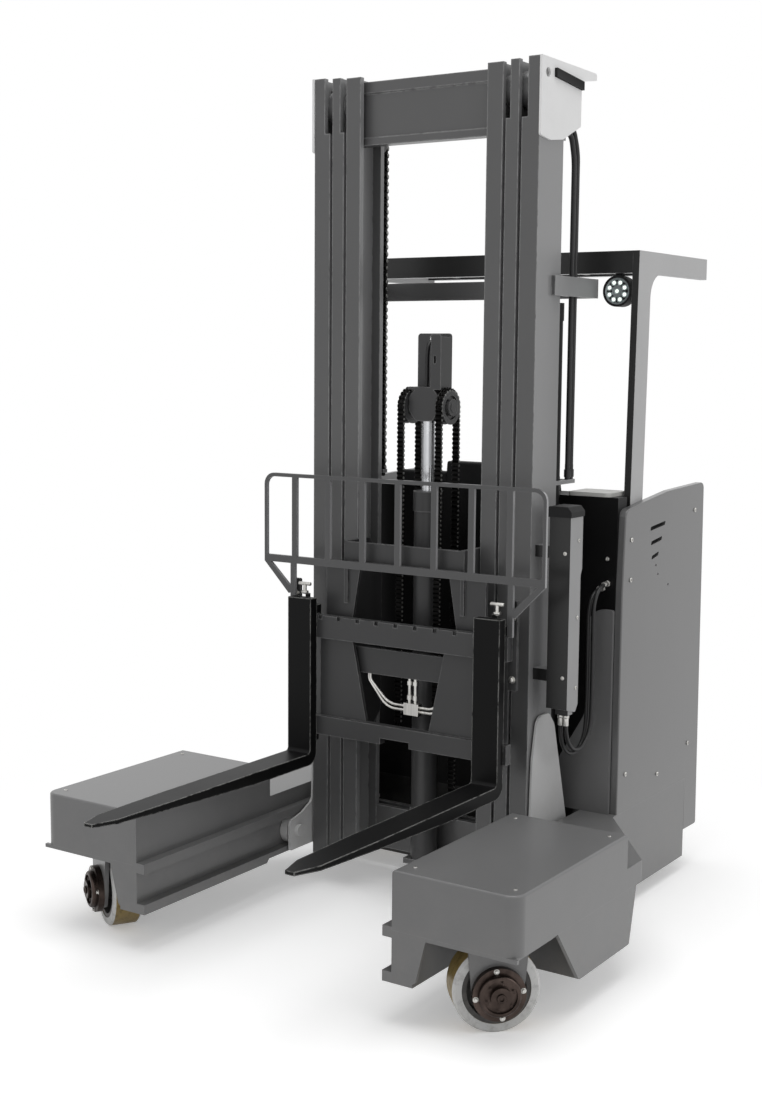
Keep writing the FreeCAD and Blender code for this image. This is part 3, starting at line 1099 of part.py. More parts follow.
# ---------------------------------------------------------------- build everything
PIECES = [
    ("leg_frame_left", leg_frame()),
    ("leg_frame_right", mirrored(leg_frame())),
    ("leg_cover_left", leg_cover()),
    ("leg_cover_right", mirrored(leg_cover())),
    ("chassis_frame", chassis_frame()),
    ("steer_yoke_left", load_yoke()),
    ("steer_yoke_right", turned_right(load_yoke())),
    ("wheel_hub_left", wheel_hub()),
    ("wheel_hub_right", turned_right(wheel_hub())),
    ("load_rim_left", load_rim()),
    ("load_rim_right", turned_right(load_rim())),
    ("load_tyre_left", load_tyre()),
    ("load_tyre_right", turned_right(load_tyre())),
    ("drive_unit", drive_unit()),
    ("drive_wheel", drive_wheel()),
    ("drive_tyre", drive_tyre()),
    ("castor_fork", castor_fork()),
    ("castor_wheels", castor_wheels()),
    ("side_panel_left", side_panel()),
    ("side_panel_right", mirrored(side_panel())),
    ("front_wall", front_wall()),
    ("front_pads", front_pads()),
    ("battery_block", battery_block()),
    ("console", console()),
    ("hood_cover", hood_cover()),
    ("controls", controls()[0]),
    ("display", controls()[1]),
    ("rear_wall", rear_wall()),
    ("operator_floor", floor()),
    ("overhead_guard", overhead_guard()),
    ("work_lamps", work_lamps()),
    ("reach_carriage", reach_carriage()),
    ("mast_outer", mast_outer()),
    ("mast_top_plates", mast_top_plates()),
    ("mast_side_cover", side_cover()),
    ("side_cover_cap", side_cover_cap()),
    ("lift_barrels", lift_barrels()),
    ("mast_hoses", mast_hoses()),
    ("loop_hose_outer", loop_hose(0)),
    ("loop_hose_inner", loop_hose(1)),
    ("mast_middle", mast_middle()),
    ("lift_rods", lift_rods()),
    ("main_sheaves", main_sheaves()),
    ("mast_inner", mast_inner()),
    ("main_chains", main_chains()),
    ("free_barrel", free_barrel()),
    ("free_chains", free_chains()),
    ("free_head", free_head()),
    ("free_rod", free_rod()),
    ("free_sheaves", free_sheaves()),
    ("head_hoses", head_hoses()),
    ("fork_carriage", fork_carriage()),
    ("carriage_pipes", carriage_pipes()),
    ("load_backrest", load_backrest()),
    ("fork_left", fork()),
    ("fork_right", mirrored(fork())),
]

os.makedirs("parts", exist_ok=True)
for name, shape in PIECES:
    done = write(name, shape)
    print(name, len(done.Solids), done.isValid(), round(done.Volume / 1e6, 3))
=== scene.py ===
import json
import math
from contextlib import contextmanager

import bmesh
import bpy
from bpy.props import FloatProperty, FloatVectorProperty, IntProperty, PointerProperty
from mathutils import Euler, Matrix, Vector


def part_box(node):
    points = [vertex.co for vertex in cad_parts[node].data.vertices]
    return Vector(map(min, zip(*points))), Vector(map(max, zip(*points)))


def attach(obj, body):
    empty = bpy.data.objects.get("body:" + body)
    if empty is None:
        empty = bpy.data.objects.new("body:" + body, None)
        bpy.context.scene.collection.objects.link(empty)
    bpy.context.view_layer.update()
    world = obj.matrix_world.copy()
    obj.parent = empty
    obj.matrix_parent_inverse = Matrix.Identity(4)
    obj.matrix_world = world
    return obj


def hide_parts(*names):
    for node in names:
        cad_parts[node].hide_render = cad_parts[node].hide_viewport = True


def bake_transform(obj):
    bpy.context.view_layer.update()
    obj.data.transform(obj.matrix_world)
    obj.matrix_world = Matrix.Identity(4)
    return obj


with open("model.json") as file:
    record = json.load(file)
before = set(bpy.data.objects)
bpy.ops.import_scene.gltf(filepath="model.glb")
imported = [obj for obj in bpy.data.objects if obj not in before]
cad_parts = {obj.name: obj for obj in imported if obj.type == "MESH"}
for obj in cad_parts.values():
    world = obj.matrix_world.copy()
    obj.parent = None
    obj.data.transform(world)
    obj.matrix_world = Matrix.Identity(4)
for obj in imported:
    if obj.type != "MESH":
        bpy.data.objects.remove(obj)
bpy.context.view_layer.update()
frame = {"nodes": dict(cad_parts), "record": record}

bl_info = {
    "name": "Reach Truck Dressing",
    "version": (1, 0, 0),
    "blender": (4, 5, 0),
    "location": "View3D > Sidebar > Reach Truck",
    "description": "Finishes, small parts, studio and camera for a multi-directional reach truck",
    "category": "Object",
}

UP = Vector((0, 0, 1))
HOSE_DIAMETER = 0.014
CHAIN_RUN = 0.012  # thickness of the chain's run in the source
DUST = (0.33, 0.31, 0.28)
# Black of the mast cover's front faces, and painted shade on the chassis between the legs.
BLACK_PAINT_AND_SHADE = (0.006, 0.006, 0.006)
# Bounds in x and y of the painted shade on the chassis between the legs.
LEG_ROOT_X = (0.46, 0.49)  # where the middle of the chassis ends and the legs begin
LEG_ROOT_Y = (0.55, 0.60)


# ------------------------------------------------------------------ settings
def colour_setting(name, description, default):
    """A colour of a finish."""
    return FloatVectorProperty(name=name, description=description, subtype="COLOR", size=3,
                               min=0, max=1, default=default)


def size_setting(name, description, default, low, high):
    """A length in metres with its limits."""
    return FloatProperty(name=name, description=description, unit="LENGTH", default=default,
                         min=low, max=high)


def power_setting(name, description, default):
    """Power of a lamp in watts."""
    return FloatProperty(name=name, description=description, subtype="POWER", default=default, min=0)


class PaintSettings(bpy.types.PropertyGroup):
    """Colours of the finishes."""
    body: colour_setting("Body paint", "Legs, covers, chassis and side panels", (0.150, 0.150, 0.151))
    mast: colour_setting("Mast paint", "The three mast stages", (0.088, 0.088, 0.089))
    guard: colour_setting("Guard paint", "Overhead guard", (0.42, 0.42, 0.422))
    light: colour_setting("Light paint", "Reach carriage and the plates at the top of the mast",
                          (0.80, 0.80, 0.80))
    carriage: colour_setting("Carriage paint", "Fork carriage and load backrest", (0.046, 0.046, 0.047))
    black: colour_setting("Black paint", "Fork shanks, front wall and lift barrels",
                          (0.0035, 0.0035, 0.0037))
    tread: colour_setting("Tread", "Running face of the wheels' cast polyurethane", (0.30, 0.215, 0.075))
    sidewall: colour_setting("Sidewall", "Pale side faces of the wheels' cast polyurethane",
                             (0.66, 0.66, 0.65))
    # Lighter edges stand for rubbed paint and for a painted highlight along the edges.
    wear: FloatProperty(name="Edge wear", description="How far the edges lighten, as rubbed paint and painted highlight",
                        subtype="FACTOR", min=0, max=1, default=0.35)


class PartSettings(bpy.types.PropertyGroup):
    """Sizes of the small parts."""
    bolt_head: size_setting("Bolt head", "Width over the flats of a cover bolt", 0.017, 0.006, 0.04)
    main_pitch: size_setting("Main chain pitch", "From pin to pin of the mast's leaf chains",
                             0.0254, 0.01, 0.05)
    free_pitch: size_setting("Free lift chain pitch", "From pin to pin of the crosshead's leaf chains",
                             0.015875, 0.01, 0.05)
    led_count: IntProperty(name="LEDs", description="Light points in the ring of a work lamp",
                           default=8, min=4, max=16)
    stud: size_setting("Mat stud", "Diameter of the studs on the driver's floor", 0.022, 0.008, 0.05)
    stud_pitch: size_setting("Stud pitch", "From stud to stud", 0.045, 0.02, 0.1)


class StageSettings(bpy.types.PropertyGroup):
    """Floor, lamps and camera."""
    key: power_setting("Top lamp", "Power of the large lamp overhead", 406.0)
    side: power_setting("Side lamp", "Power of the lamp on the truck's left", 62.0)
    front: power_setting("Front lamp", "Power of the lamp in front", 22.0)
    floor_wash: FloatProperty(name="Floor wash", description="How far the floor is whitened as it is seen",
                              default=0.30, min=0, max=1)
    ambient: FloatProperty(name="Ambient", description="Strength of the even light all round",
                           default=0.42, min=0)


# ------------------------------------------------------------------ shader helpers
class Graph:
    """Adds nodes to a tree and links them by socket name."""

    def __init__(self, tree):
        self.tree = tree

    def node(self, kind, **values):
        made = self.tree.nodes.new(kind)
        for key, value in values.items():
            if key.startswith("in_"):
                made.inputs[key[3:].replace("_", " ")].default_value = value
            else:
                setattr(made, key, value)
        return made

    def link(self, a, b):
        self.tree.links.new(a, b)

    def feed(self, socket, value):
        """Links a socket, or sets a number or a colour."""
        if hasattr(value, "default_value"):
            self.link(value, socket)
        elif isinstance(value, (int, float)):
            socket.default_value = value
        else:
            socket.default_value = (*value, 1.0)

    def noise(self, vector, scale, detail=2.0, roughness=0.5):
        """Noise on a vector; the scale is a number or a socket."""
        made = self.node("ShaderNodeTexNoise", in_Detail=detail, in_Roughness=roughness)
        self.link(vector, made.inputs["Vector"])
        self.feed(made.inputs["Scale"], scale)
        return made.outputs["Fac"]

    def drive(self, shader, **sockets):
        """Feeds sockets of a shader, by their names with underscores for spaces."""
        for label, value in sockets.items():
            self.feed(shader.inputs[label.replace("_", " ")], value)

    def bump(self, shader, height, strength, distance):
        """Raises the shader's surface by a height."""
        made = self.node("ShaderNodeBump", in_Strength=strength, in_Distance=distance)
        self.link(height, made.inputs["Height"])
        self.link(made.outputs["Normal"], shader.inputs["Normal"])

    def math(self, operation, a, b=0.0, clamp=False):
        made = self.tree.nodes.new("ShaderNodeMath")
        made.operation = operation
        made.use_clamp = clamp
        for socket, value in zip(made.inputs, (a, b)):
            self.feed(socket, value)
        return made.outputs[0]

    def ramp(self, value, low, high):
        """Smooth rise from 0 at low to 1 at high."""
        made = self.tree.nodes.new("ShaderNodeMapRange")
        made.interpolation_type = "SMOOTHSTEP"
        self.link(value, made.inputs["Value"])
        made.inputs["From Min"].default_value = low
        made.inputs["From Max"].default_value = high
        return made.outputs["Result"]

    def mix(self, factor, a, b):
        made = self.tree.nodes.new("ShaderNodeMix")
        made.data_type = "RGBA"
        for socket, value in ((made.inputs[0], factor), (made.inputs[6], a), (made.inputs[7], b)):
            self.feed(socket, value)
        return made.outputs[2]


def new_group(name, inputs, outputs):
    """A shader node group with named sockets, its graph, and the sockets on its two sides."""
    tree = bpy.data.node_groups.new(name, "ShaderNodeTree")
    for label, kind, value in inputs:
        socket = tree.interface.new_socket(name=label, in_out="INPUT", socket_type="NodeSocket" + kind)
        if value is not None:
            socket.default_value = value
    for label, kind in outputs:
        tree.interface.new_socket(name=label, in_out="OUTPUT", socket_type="NodeSocket" + kind)
    graph = Graph(tree)
    return tree, graph, graph.node("NodeGroupInput").outputs, graph.node("NodeGroupOutput").inputs


def edge_wear_and_highlight_group():
    """Mask of convex edges, broken up by noise: rubbed paint, and a painted highlight where the edges catch
    the light.
    """
    tree, g, given, out = new_group(
        "Edge wear", [("Vector", "Vector", None), ("Amount", "Float", 0.3), ("Width", "Float", 0.002)],
        [("Mask", "Float")])
    bevel = g.node("ShaderNodeBevel", samples=4)
    g.link(given["Width"], bevel.inputs["Radius"])
    geometry = g.node("ShaderNodeNewGeometry")
    dot = g.node("ShaderNodeVectorMath", operation="DOT_PRODUCT")
    g.link(bevel.outputs["Normal"], dot.inputs[0])
    g.link(geometry.outputs["Normal"], dot.inputs[1])
    edge = g.ramp(g.math("SUBTRACT", 1.0, dot.outputs["Value"]), 0.004, 0.10)
    broken = g.ramp(g.noise(given["Vector"], 34.0, 5.0, 0.65), 0.30, 0.56)
    mask = g.math("MULTIPLY", g.math("MULTIPLY", edge, broken), given["Amount"], clamp=True)
    g.link(mask, out["Mask"])
    return tree


def orange_peel_group():
    """Fine height and roughness change of sprayed or powder-coated paint."""
    tree, g, given, out = new_group(
        "Orange peel", [("Vector", "Vector", None), ("Scale", "Float", 420.0), ("Roughness", "Float", 0.4),
                        ("Variation", "Float", 0.08)],
        [("Height", "Float"), ("Roughness", "Float"), ("Cloud", "Float")])
    fine = g.noise(given["Vector"], given["Scale"])
    cloud = g.noise(given["Vector"], 2.6, 5.0, 0.6)
    swing = g.math("MULTIPLY", g.math("SUBTRACT", cloud, 0.5), given["Variation"])
    g.link(fine, out["Height"])
    g.link(g.math("ADD", given["Roughness"], swing, clamp=True), out["Roughness"])
    g.link(cloud, out["Cloud"])
    return tree


def dust_group():
    """Road dust that thins out with height, with speckle."""
    tree, g, given, out = new_group(
        "Dust", [("Vector", "Vector", None), ("Top", "Float", 0.5), ("Amount", "Float", 0.3)],
        [("Mask", "Float")])
    split = g.node("ShaderNodeSeparateXYZ")
    g.link(given["Vector"], split.inputs[0])
    fade = g.math("SUBTRACT", 1.0, g.math("DIVIDE", split.outputs["Z"], given["Top"]), clamp=True)
    spots = g.ramp(g.noise(given["Vector"], 11.0, 8.0, 0.7), 0.35, 0.75)
    mask = g.math("MULTIPLY", g.math("MULTIPLY", fade, spots), given["Amount"], clamp=True)
    g.link(mask, out["Mask"])
    return tree


def scratch_group():
    """Long fine scratches and rub marks of a sliding steel face."""
    tree, g, given, out = new_group(
        "Rubbed steel", [("Vector", "Vector", None), ("Stretch", "Float", 40.0)],
        [("Lines", "Float"), ("Patches", "Float")])
    lengthen = g.node("ShaderNodeMapping", in_Scale=(1.0, 1.0, 0.02))
    g.link(given["Vector"], lengthen.inputs["Vector"])
    lines = g.noise(lengthen.outputs["Vector"], given["Stretch"], 3.0, 0.7)
    patches = g.noise(given["Vector"], 7.0, 6.0, 0.62)
    g.link(g.ramp(lines, 0.35, 0.7), out["Lines"])
    g.link(g.ramp(patches, 0.4, 0.62), out["Patches"])
    return tree


GROUPS = {}


def use_group(g, key, vector, **values):
    """Adds one of the shared groups to a material, on the piece's own coordinates."""
    made = g.node("ShaderNodeGroup", node_tree=GROUPS[key])
    g.link(vector, made.inputs["Vector"])
    for label, value in values.items():
        made.inputs[label].default_value = value
    return made.outputs


def start_material(name, **principled):
    """A material with its graph, its Principled shader and the piece's own coordinates."""
    material = bpy.data.materials.new(name)
    material.use_nodes = True
    tree = material.node_tree
    shader = tree.nodes["Principled BSDF"]
    g = Graph(tree)
    g.drive(shader, **principled)
    return material, g, shader, g.node("ShaderNodeTexCoord").outputs["Object"]


def facing(g, axis, both_ways=False, low=0.55, high=0.75):
    """Mask of the faces that look along an axis of the piece, or either way along it."""
    normal = g.node("ShaderNodeTexCoord").outputs["Normal"]
    dot = g.node("ShaderNodeVectorMath", operation="DOT_PRODUCT")
    g.link(normal, dot.inputs[0])
    dot.inputs[1].default_value = axis
    along = dot.outputs["Value"]
    return g.ramp(g.math("ABSOLUTE", along) if both_ways else along, low, high)


def shade(colour, factor, lift=0.0):
    """A colour times a factor, plus a lift."""
    return [min(1.0, c * factor + lift) for c in colour]


def paint(name, colour, roughness=0.42, coat=0.25, wear=0.3, dust=0.2, dust_top=0.6, peel=420.0,
          variation=0.1, bump=0.03, specular=0.4, front=None, lit_flanks=None, middle=None, rub=0.002,
          bare_and_highlight=None):
    """Sprayed paint on steel: peel, cloudy sheen, rubbed edges and floor dust, with painted light and shade.

    Front, flanks and middle are the colours of the faces that look forward, of those that look
    sideways and of the part between the legs, where they differ. A lighter sideways colour is
    painted light from the side, and a dark colour between the legs is painted shade. Rub is how
    wide the rubbed edges are and bare the colour under them; the pale edges are rubbed paint
    and also a painted highlight."""
    material, g, shader, where = start_material(name, Coat_Roughness=0.25, Coat_Weight=coat,
                                                Specular_IOR_Level=specular)
    peeled = use_group(g, "peel", where, Scale=peel, Roughness=roughness, Variation=variation)
    worn_and_lit = use_group(g, "wear", where, Amount=wear, Width=rub)
    dusty = use_group(g, "dust", where, Amount=dust, Top=dust_top)
    base = g.mix(peeled["Cloud"], shade(colour, 0.88), shade(colour, 1.16))
    if front:
        base = g.mix(facing(g, (0.0, -1.0, 0.0)), base, front)
    # Painted light: faces that look sideways take a lighter colour, as if lit from the side.
    if lit_flanks:
        base = g.mix(facing(g, (1.0, 0.0, 0.0), both_ways=True), base, lit_flanks)
    # Painted shade: the part of the chassis between the legs takes the dark middle colour.
    if middle:
        split = g.node("ShaderNodeSeparateXYZ")
        g.link(where, split.inputs[0])
        between = g.math("SUBTRACT", 1.0, g.ramp(g.math("ABSOLUTE", split.outputs["X"]), *LEG_ROOT_X))
        ahead = g.math("SUBTRACT", 1.0, g.ramp(split.outputs["Y"], *LEG_ROOT_Y))
        base = g.mix(g.math("MULTIPLY", between, ahead), base, middle)
    # Edges lighten to the bare colour: rubbed paint, and a painted highlight.
    base = g.mix(worn_and_lit["Mask"], base, bare_and_highlight or shade(colour, 1.6, 0.03))
    base = g.mix(dusty["Mask"], base, DUST)
    rough = g.math("ADD", peeled["Roughness"], g.math("MULTIPLY", dusty["Mask"], 0.5),
                   clamp=True)
    g.drive(shader, Base_Color=base, Roughness=rough)
    g.bump(shader, peeled["Height"], bump, 0.001)
    return material


def steel(name, colour, roughness=0.32, lines=40.0, oil=0.25, bump=0.08):
    """Bare machined steel with rub lines and oily patches."""
    material, g, shader, where = start_material(name, Metallic=1.0)
    rubbed = use_group(g, "rub", where, Stretch=lines)
    base = g.mix(rubbed["Lines"], shade(colour, 0.72), colour)
    base = g.mix(g.math("MULTIPLY", rubbed["Patches"], oil), base, shade(colour, 0.3))
    rough = g.math("ADD", g.math("MULTIPLY", rubbed["Patches"], 0.22), roughness, clamp=True)
    g.drive(shader, Base_Color=base, Roughness=rough)
    g.bump(shader, rubbed["Lines"], bump, 0.0006)
    return material


def moulded(name, colour, roughness=0.55, grain=900.0, depth=0.25, dust=0.15, specular=0.4):
    """Moulded plastic or rubber with a fine leather-like grain."""
    material, g, shader, where = start_material(name, Specular_IOR_Level=specular)
    cells = g.node("ShaderNodeTexVoronoi", in_Scale=grain, feature="SMOOTH_F1")
    g.link(where, cells.inputs["Vector"])
    peeled = use_group(g, "peel", where, Scale=60.0, Roughness=roughness, Variation=0.16)
    dusty = use_group(g, "dust", where, Amount=dust, Top=1.2)
    worn_and_lit = use_group(g, "wear", where, Amount=0.25)
    base = g.mix(peeled["Cloud"], shade(colour, 0.85), shade(colour, 1.25))
    base = g.mix(worn_and_lit["Mask"], base, shade(colour, 1.8, 0.03))
    base = g.mix(dusty["Mask"], base, (0.25, 0.24, 0.22))
    g.drive(shader, Base_Color=base, Roughness=peeled["Roughness"])
    g.bump(shader, cells.outputs["Distance"], depth, 0.0005)
    return material


def polyurethane(name, colour, side, axle):
    """Cast tread: amber running face with scuffs, pale chalky side faces across the axle."""
    material, g, shader, where = start_material(name, Specular_IOR_Level=0.3)
    flank = facing(g, axle, both_ways=True, low=0.45, high=0.62)
    scuff = g.noise(where, 38.0, 9.0, 0.72)
    marks = g.ramp(scuff, 0.45, 0.7)
    base = g.mix(flank, g.mix(marks, colour, shade(colour, 0.45)), g.mix(marks, side, shade(side, 0.72)))
    dusty = use_group(g, "dust", where, Amount=0.35, Top=0.2)
    base = g.mix(dusty["Mask"], base, (0.3, 0.28, 0.24))
    g.drive(shader, Base_Color=base, Roughness=g.math("ADD", g.math("MULTIPLY", marks, 0.2), 0.42))
    g.bump(shader, scuff, 0.3, 0.001)
    return material


MATERIALS = {}
ROLL = {}  # side: centre and axle of its steered load wheel
for joint in frame["record"]["behaviour"]["joints"]:
    if joint["name"].startswith("load_wheel_"):
        ROLL[joint["name"].split("_")[2]] = (Vector(joint["pos_m"]), Vector(joint["axis"]))


def make_materials(look):
    """Fills GROUPS and MATERIALS from the paint settings."""
    GROUPS["wear"] = edge_wear_and_highlight_group()
    GROUPS["peel"] = orange_peel_group()
    GROUPS["dust"] = dust_group()
    GROUPS["rub"] = scratch_group()
    w = look.wear
    MATERIALS.update({
        "body": paint("Body paint", look.body, 0.38, 0.3, w, 0.2, 0.5),
        # Side panels: the body paint darkened to 0.74, which is painted shade.
        "panel": paint("Side panel paint in painted shade", shade(look.body, 0.74), 0.32, 0.45, w, 0.15, 0.6),
        # Chassis: black between the legs is painted shade.
        "chassis": paint("Chassis paint, shaded between the legs", look.body, 0.38, 0.3, w, 0.2, 0.5, middle=BLACK_PAINT_AND_SHADE),
        # Mast: sideways faces 2.6 times lighter are painted light from the side; the full-strength wide pale
        # edges are rubbed paint and painted highlight.
        "mast": paint("Mast paint", look.mast, 0.36, 0.3, 1.0, 0.05, 0.8, rub=0.007,
                      lit_flanks=shade(look.mast, 2.6), bare_and_highlight=(0.30, 0.30, 0.30)),
        "guard": paint("Guard paint", look.guard, 0.42, 0.1, w, 0.0, 1.0, front=(0.012, 0.012, 0.012)),
        "light": paint("Light plate paint", look.light, 0.46, 0.1, w * 0.4, 0.05, 0.8),
        "gusset": paint("Reach carriage paint", shade(look.light, 0.72), 0.44, 0.15, w, 0.25, 0.7),
        # Backrest: sideways faces seven times lighter are painted light from the side.
        "backrest": paint("Backrest paint with lit flanks", shade(look.carriage, 1.5), 0.36, 0.25, 0.8, 0.0, 0.8,
                          rub=0.004, lit_flanks=shade(look.carriage, 7.0)),
        "cover": paint("Mast cover paint", shade(look.mast, 3.0), 0.36, 0.2, w * 0.5, 0.05, 0.8,
                       front=BLACK_PAINT_AND_SHADE),
        "carriage": paint("Carriage paint", look.carriage, 0.42, 0.15, 1.0, 0.05, 0.8, specular=0.3,
                          rub=0.005, bare_and_highlight=(0.20, 0.20, 0.20)),
        "black": paint("Black paint", look.black, 0.42, 0.0, w * 0.6, 0.02, 1.0, specular=0.16),
        "fork": paint("Fork paint", look.black, 0.42, 0.0, 1.0, 0.05, 0.58, 260.0, specular=0.12,
                      rub=0.006, bare_and_highlight=(0.30, 0.30, 0.29)),
        "iron": paint("Cast iron", (0.035, 0.033, 0.032), 0.5, 0.1, 0.8, 0.4, 0.3, 240.0, 0.2, 0.12),
        "bronze": steel("Hub casting", (0.085, 0.064, 0.056), 0.26, 30.0, 0.6),
        "plastic": moulded("Black moulding", (0.009, 0.009, 0.0095), specular=0.2),
        "rubber": moulded("Rubber", (0.012, 0.012, 0.0125), 0.65, 500.0, 0.35, specular=0.2),
        "hose": moulded("Hose rubber", (0.008, 0.008, 0.0085), 0.42, 1200.0, 0.2, 0.05, specular=0.4),
        "chain": steel("Oiled chain", (0.035, 0.034, 0.033), 0.42, 90.0, 0.7),
        "pin": steel("Chain pins", (0.30, 0.30, 0.29), 0.3, 90.0, 0.4),
        "chrome": steel("Hard chrome", (0.72, 0.73, 0.75), 0.16, 30.0, 0.0, 0.0),
        "zinc": steel("Plated fittings", (0.72, 0.71, 0.68), 0.3, 60.0, 0.2),
        "tread": polyurethane("Cast tread", look.tread, look.sidewall, (1.0, 0.0, 0.0)),
        "red": moulded("Red moulding", (0.45, 0.02, 0.015), 0.35, 900.0, 0.1, 0.0),
        "pale": moulded("Pale moulding", (0.52, 0.52, 0.5), 0.5, 900.0, 0.15, 0.1),
    })
    for side in ("left", "right"):
        MATERIALS["tread_" + side] = polyurethane(
            "Cast tread " + side, look.tread, look.sidewall, ROLL[side][1])
    led, g, shader, where = start_material("Lamp reflector", Metallic=0.7, Roughness=0.25)
    cells = g.node("ShaderNodeTexVoronoi", in_Scale=420.0)
    g.link(where, cells.inputs["Vector"])
    g.drive(shader, Base_Color=g.mix(cells.outputs["Distance"], (0.45, 0.50, 0.50), (0.25, 0.28, 0.29)))
    chip, g, shader, where = start_material("Lamp chip", Base_Color=(0.9, 0.95, 0.9), Roughness=0.2,
                                            Emission_Strength=0.85)
    g.drive(shader, Emission_Color=g.mix(g.noise(where, 300.0), (0.75, 0.95, 0.9), (1.0, 1.0, 0.9)))
    screen, g, shader, where = start_material("Display", Roughness=0.12)
    bands = g.node("ShaderNodeTexWave", in_Scale=90.0, wave_type="BANDS")
    g.link(where, bands.inputs["Vector"])
    g.drive(shader, Base_Color=g.mix(bands.outputs["Fac"], (0.01, 0.02, 0.025), (0.03, 0.06, 0.07)))
    MATERIALS.update({"led": led, "chip": chip, "screen": screen})


# ------------------------------------------------------------------ modelling helpers
def deselect():
    """Leaves edit mode and selects nothing."""
    if bpy.context.object and bpy.context.object.mode != "OBJECT":
        bpy.ops.object.mode_set(mode="OBJECT")
    bpy.ops.object.select_all(action="DESELECT")


def only(obj):
    """Makes one piece the active and only selected one."""
    deselect()
    obj.select_set(True)
    bpy.context.view_layer.objects.active = obj


@contextmanager
def editing():
    """Edit mode for the active piece."""
    bpy.ops.object.mode_set(mode="EDIT")
    yield
    bpy.ops.object.mode_set(mode="OBJECT")


def pick(test):
    """Selects the faces whose normal passes the test."""
    bpy.ops.mesh.select_mode(type="FACE")
    bpy.ops.mesh.select_all(action="DESELECT")
    mesh = bmesh.from_edit_mesh(bpy.context.object.data)
    chosen = [face for face in mesh.faces if test(face.normal)]
    for face in chosen:
        face.select_set(True)
    mesh.select_flush_mode()
    bmesh.update_edit_mesh(bpy.context.object.data)
    if not chosen:
        raise RuntimeError("nothing was selected on " + bpy.context.object.name)


def extrude(x=0.0, y=0.0, z=0.0):
    """Extrudes the selected faces by a step."""
    bpy.ops.mesh.extrude_region_move(TRANSFORM_OT_translate={"value": (x, y, z)})


def apply_place(location=True, rotation=True, scale=True):
    """Puts the active piece's place, turn and scale in its mesh."""
    bpy.ops.object.transform_apply(location=location, rotation=rotation, scale=scale)


def cube(name, low, high):
    """A block between two corners, active and selected."""
    deselect()
    low, high = Vector(low), Vector(high)
    bpy.ops.mesh.primitive_cube_add(size=1.0, location=(low + high) / 2)
    obj = bpy.context.object
    obj.name = name
    obj.scale = high - low
    apply_place(location=False, rotation=False)
    return obj


AXES = {"x": Euler((0, math.pi / 2, 0)), "y": Euler((math.pi / 2, 0, 0)), "z": Euler((0, 0, 0))}


def round_bar(name, centre, radius, length, axis="z", sides=32):
    """A cylinder along an axis, active and selected."""
    deselect()
    bpy.ops.mesh.primitive_cylinder_add(vertices=sides, radius=radius, depth=length, location=centre,
                                        rotation=AXES[axis])
    obj = bpy.context.object
    obj.name = name
    apply_place(location=False, scale=False)
    return obj


def bevel_all(obj, width, segments=2):
    """Rounds every edge sharper than 30 degrees."""
    only(obj)
    made = obj.modifiers.new("Rounded edges", "BEVEL")
    made.width = width
    made.segments = segments
    made.limit_method = "ANGLE"
    made.angle_limit = math.radians(30.0)
    bpy.ops.object.modifier_apply(modifier=made.name)
    return obj


def copies(obj, places):
    """One joined mesh with a copy of obj at each (position, rotation); the original goes."""
    made = []
    for position, turn in places:
        twin = obj.copy()
        twin.data = obj.data.copy()
        twin.matrix_world = Matrix.Translation(position) @ turn.to_matrix().to_4x4() @ obj.matrix_world
        bpy.context.collection.objects.link(twin)
        made.append(twin)
    bpy.data.objects.remove(obj, do_unlink=True)
    return joined(made, made[0].name.split(".")[0])


def joined(objects, name):
    """One object made of several."""
    deselect()
    for o in objects:
        o.select_set(True)
    bpy.context.view_layer.objects.active = objects[0]
    if len(objects) > 1:
        bpy.ops.object.join()
    result = bpy.context.object
    result.name = name
    return result


def complete(obj, body, material, angle=35.0):
    """Puts the piece's place in its mesh, shades it and declares its finish and, where one is
    given, its body."""
    only(obj)
    apply_place()
    bpy.ops.object.shade_smooth_by_angle(angle=math.radians(angle))
    obj.data.materials.clear()
    obj.data.materials.append(MATERIALS[material])
    if body:
        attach(obj, body)
    return obj


FACING = {
    "+x": Euler((0, math.pi / 2, 0)), "-x": Euler((0, -math.pi / 2, 0)),
    "-y": Euler((math.pi / 2, 0, 0)), "+z": Euler((0, 0, 0)),
}


def make_bolt(flats):
    """A hexagon head on a washer, standing along +Z from the origin, with a domed top."""
    head = round_bar("bolt", (0, 0, flats * 0.36), flats / 1.732, flats * 0.5, "z", 6)
    with editing():
        pick(lambda n: n.z > 0.9)
        bpy.ops.mesh.inset(thickness=flats * 0.1)
        bpy.ops.transform.translate(value=(0, 0, flats * 0.05))
    bevel_all(head, flats * 0.04, 1)
    washer = round_bar("washer", (0, 0, flats * 0.06), flats * 0.82, flats * 0.12, "z", 16)
    bevel_all(washer, flats * 0.03, 1)
    return joined([head, washer], "bolt")


def make_socket_screw(radius):
    """A round button head with a hexagon socket, standing along +Z."""
    head = round_bar("screw", (0, 0, radius * 0.25), radius, radius * 0.5, "z", 20)
    bevel_all(head, radius * 0.3, 2)
    with editing():
        pick(lambda n: n.z > 0.98)
        bpy.ops.mesh.inset(thickness=radius * 0.25)
        extrude(z=-radius * 0.35)
    return head


def spread(obj, spots, body, material, angle=35.0):
    """Copies of obj at the spots, completed as one piece."""
    return complete(copies(obj, spots), body, material, angle)


def screws(radius, spots, body):
    """Plated socket screws on a body, as one piece."""
    return spread(make_socket_screw(radius), spots, body, "zinc")


def ring_places(centre, across, up, radius, count, start=0.0):
    """Positions evenly round a circle in the plane of two directions; start is in degrees."""
    angles = [math.radians(360.0 * k / count + start) for k in range(count)]
    return [centre + across * (radius * math.cos(a)) + up * (radius * math.sin(a)) for a in angles]


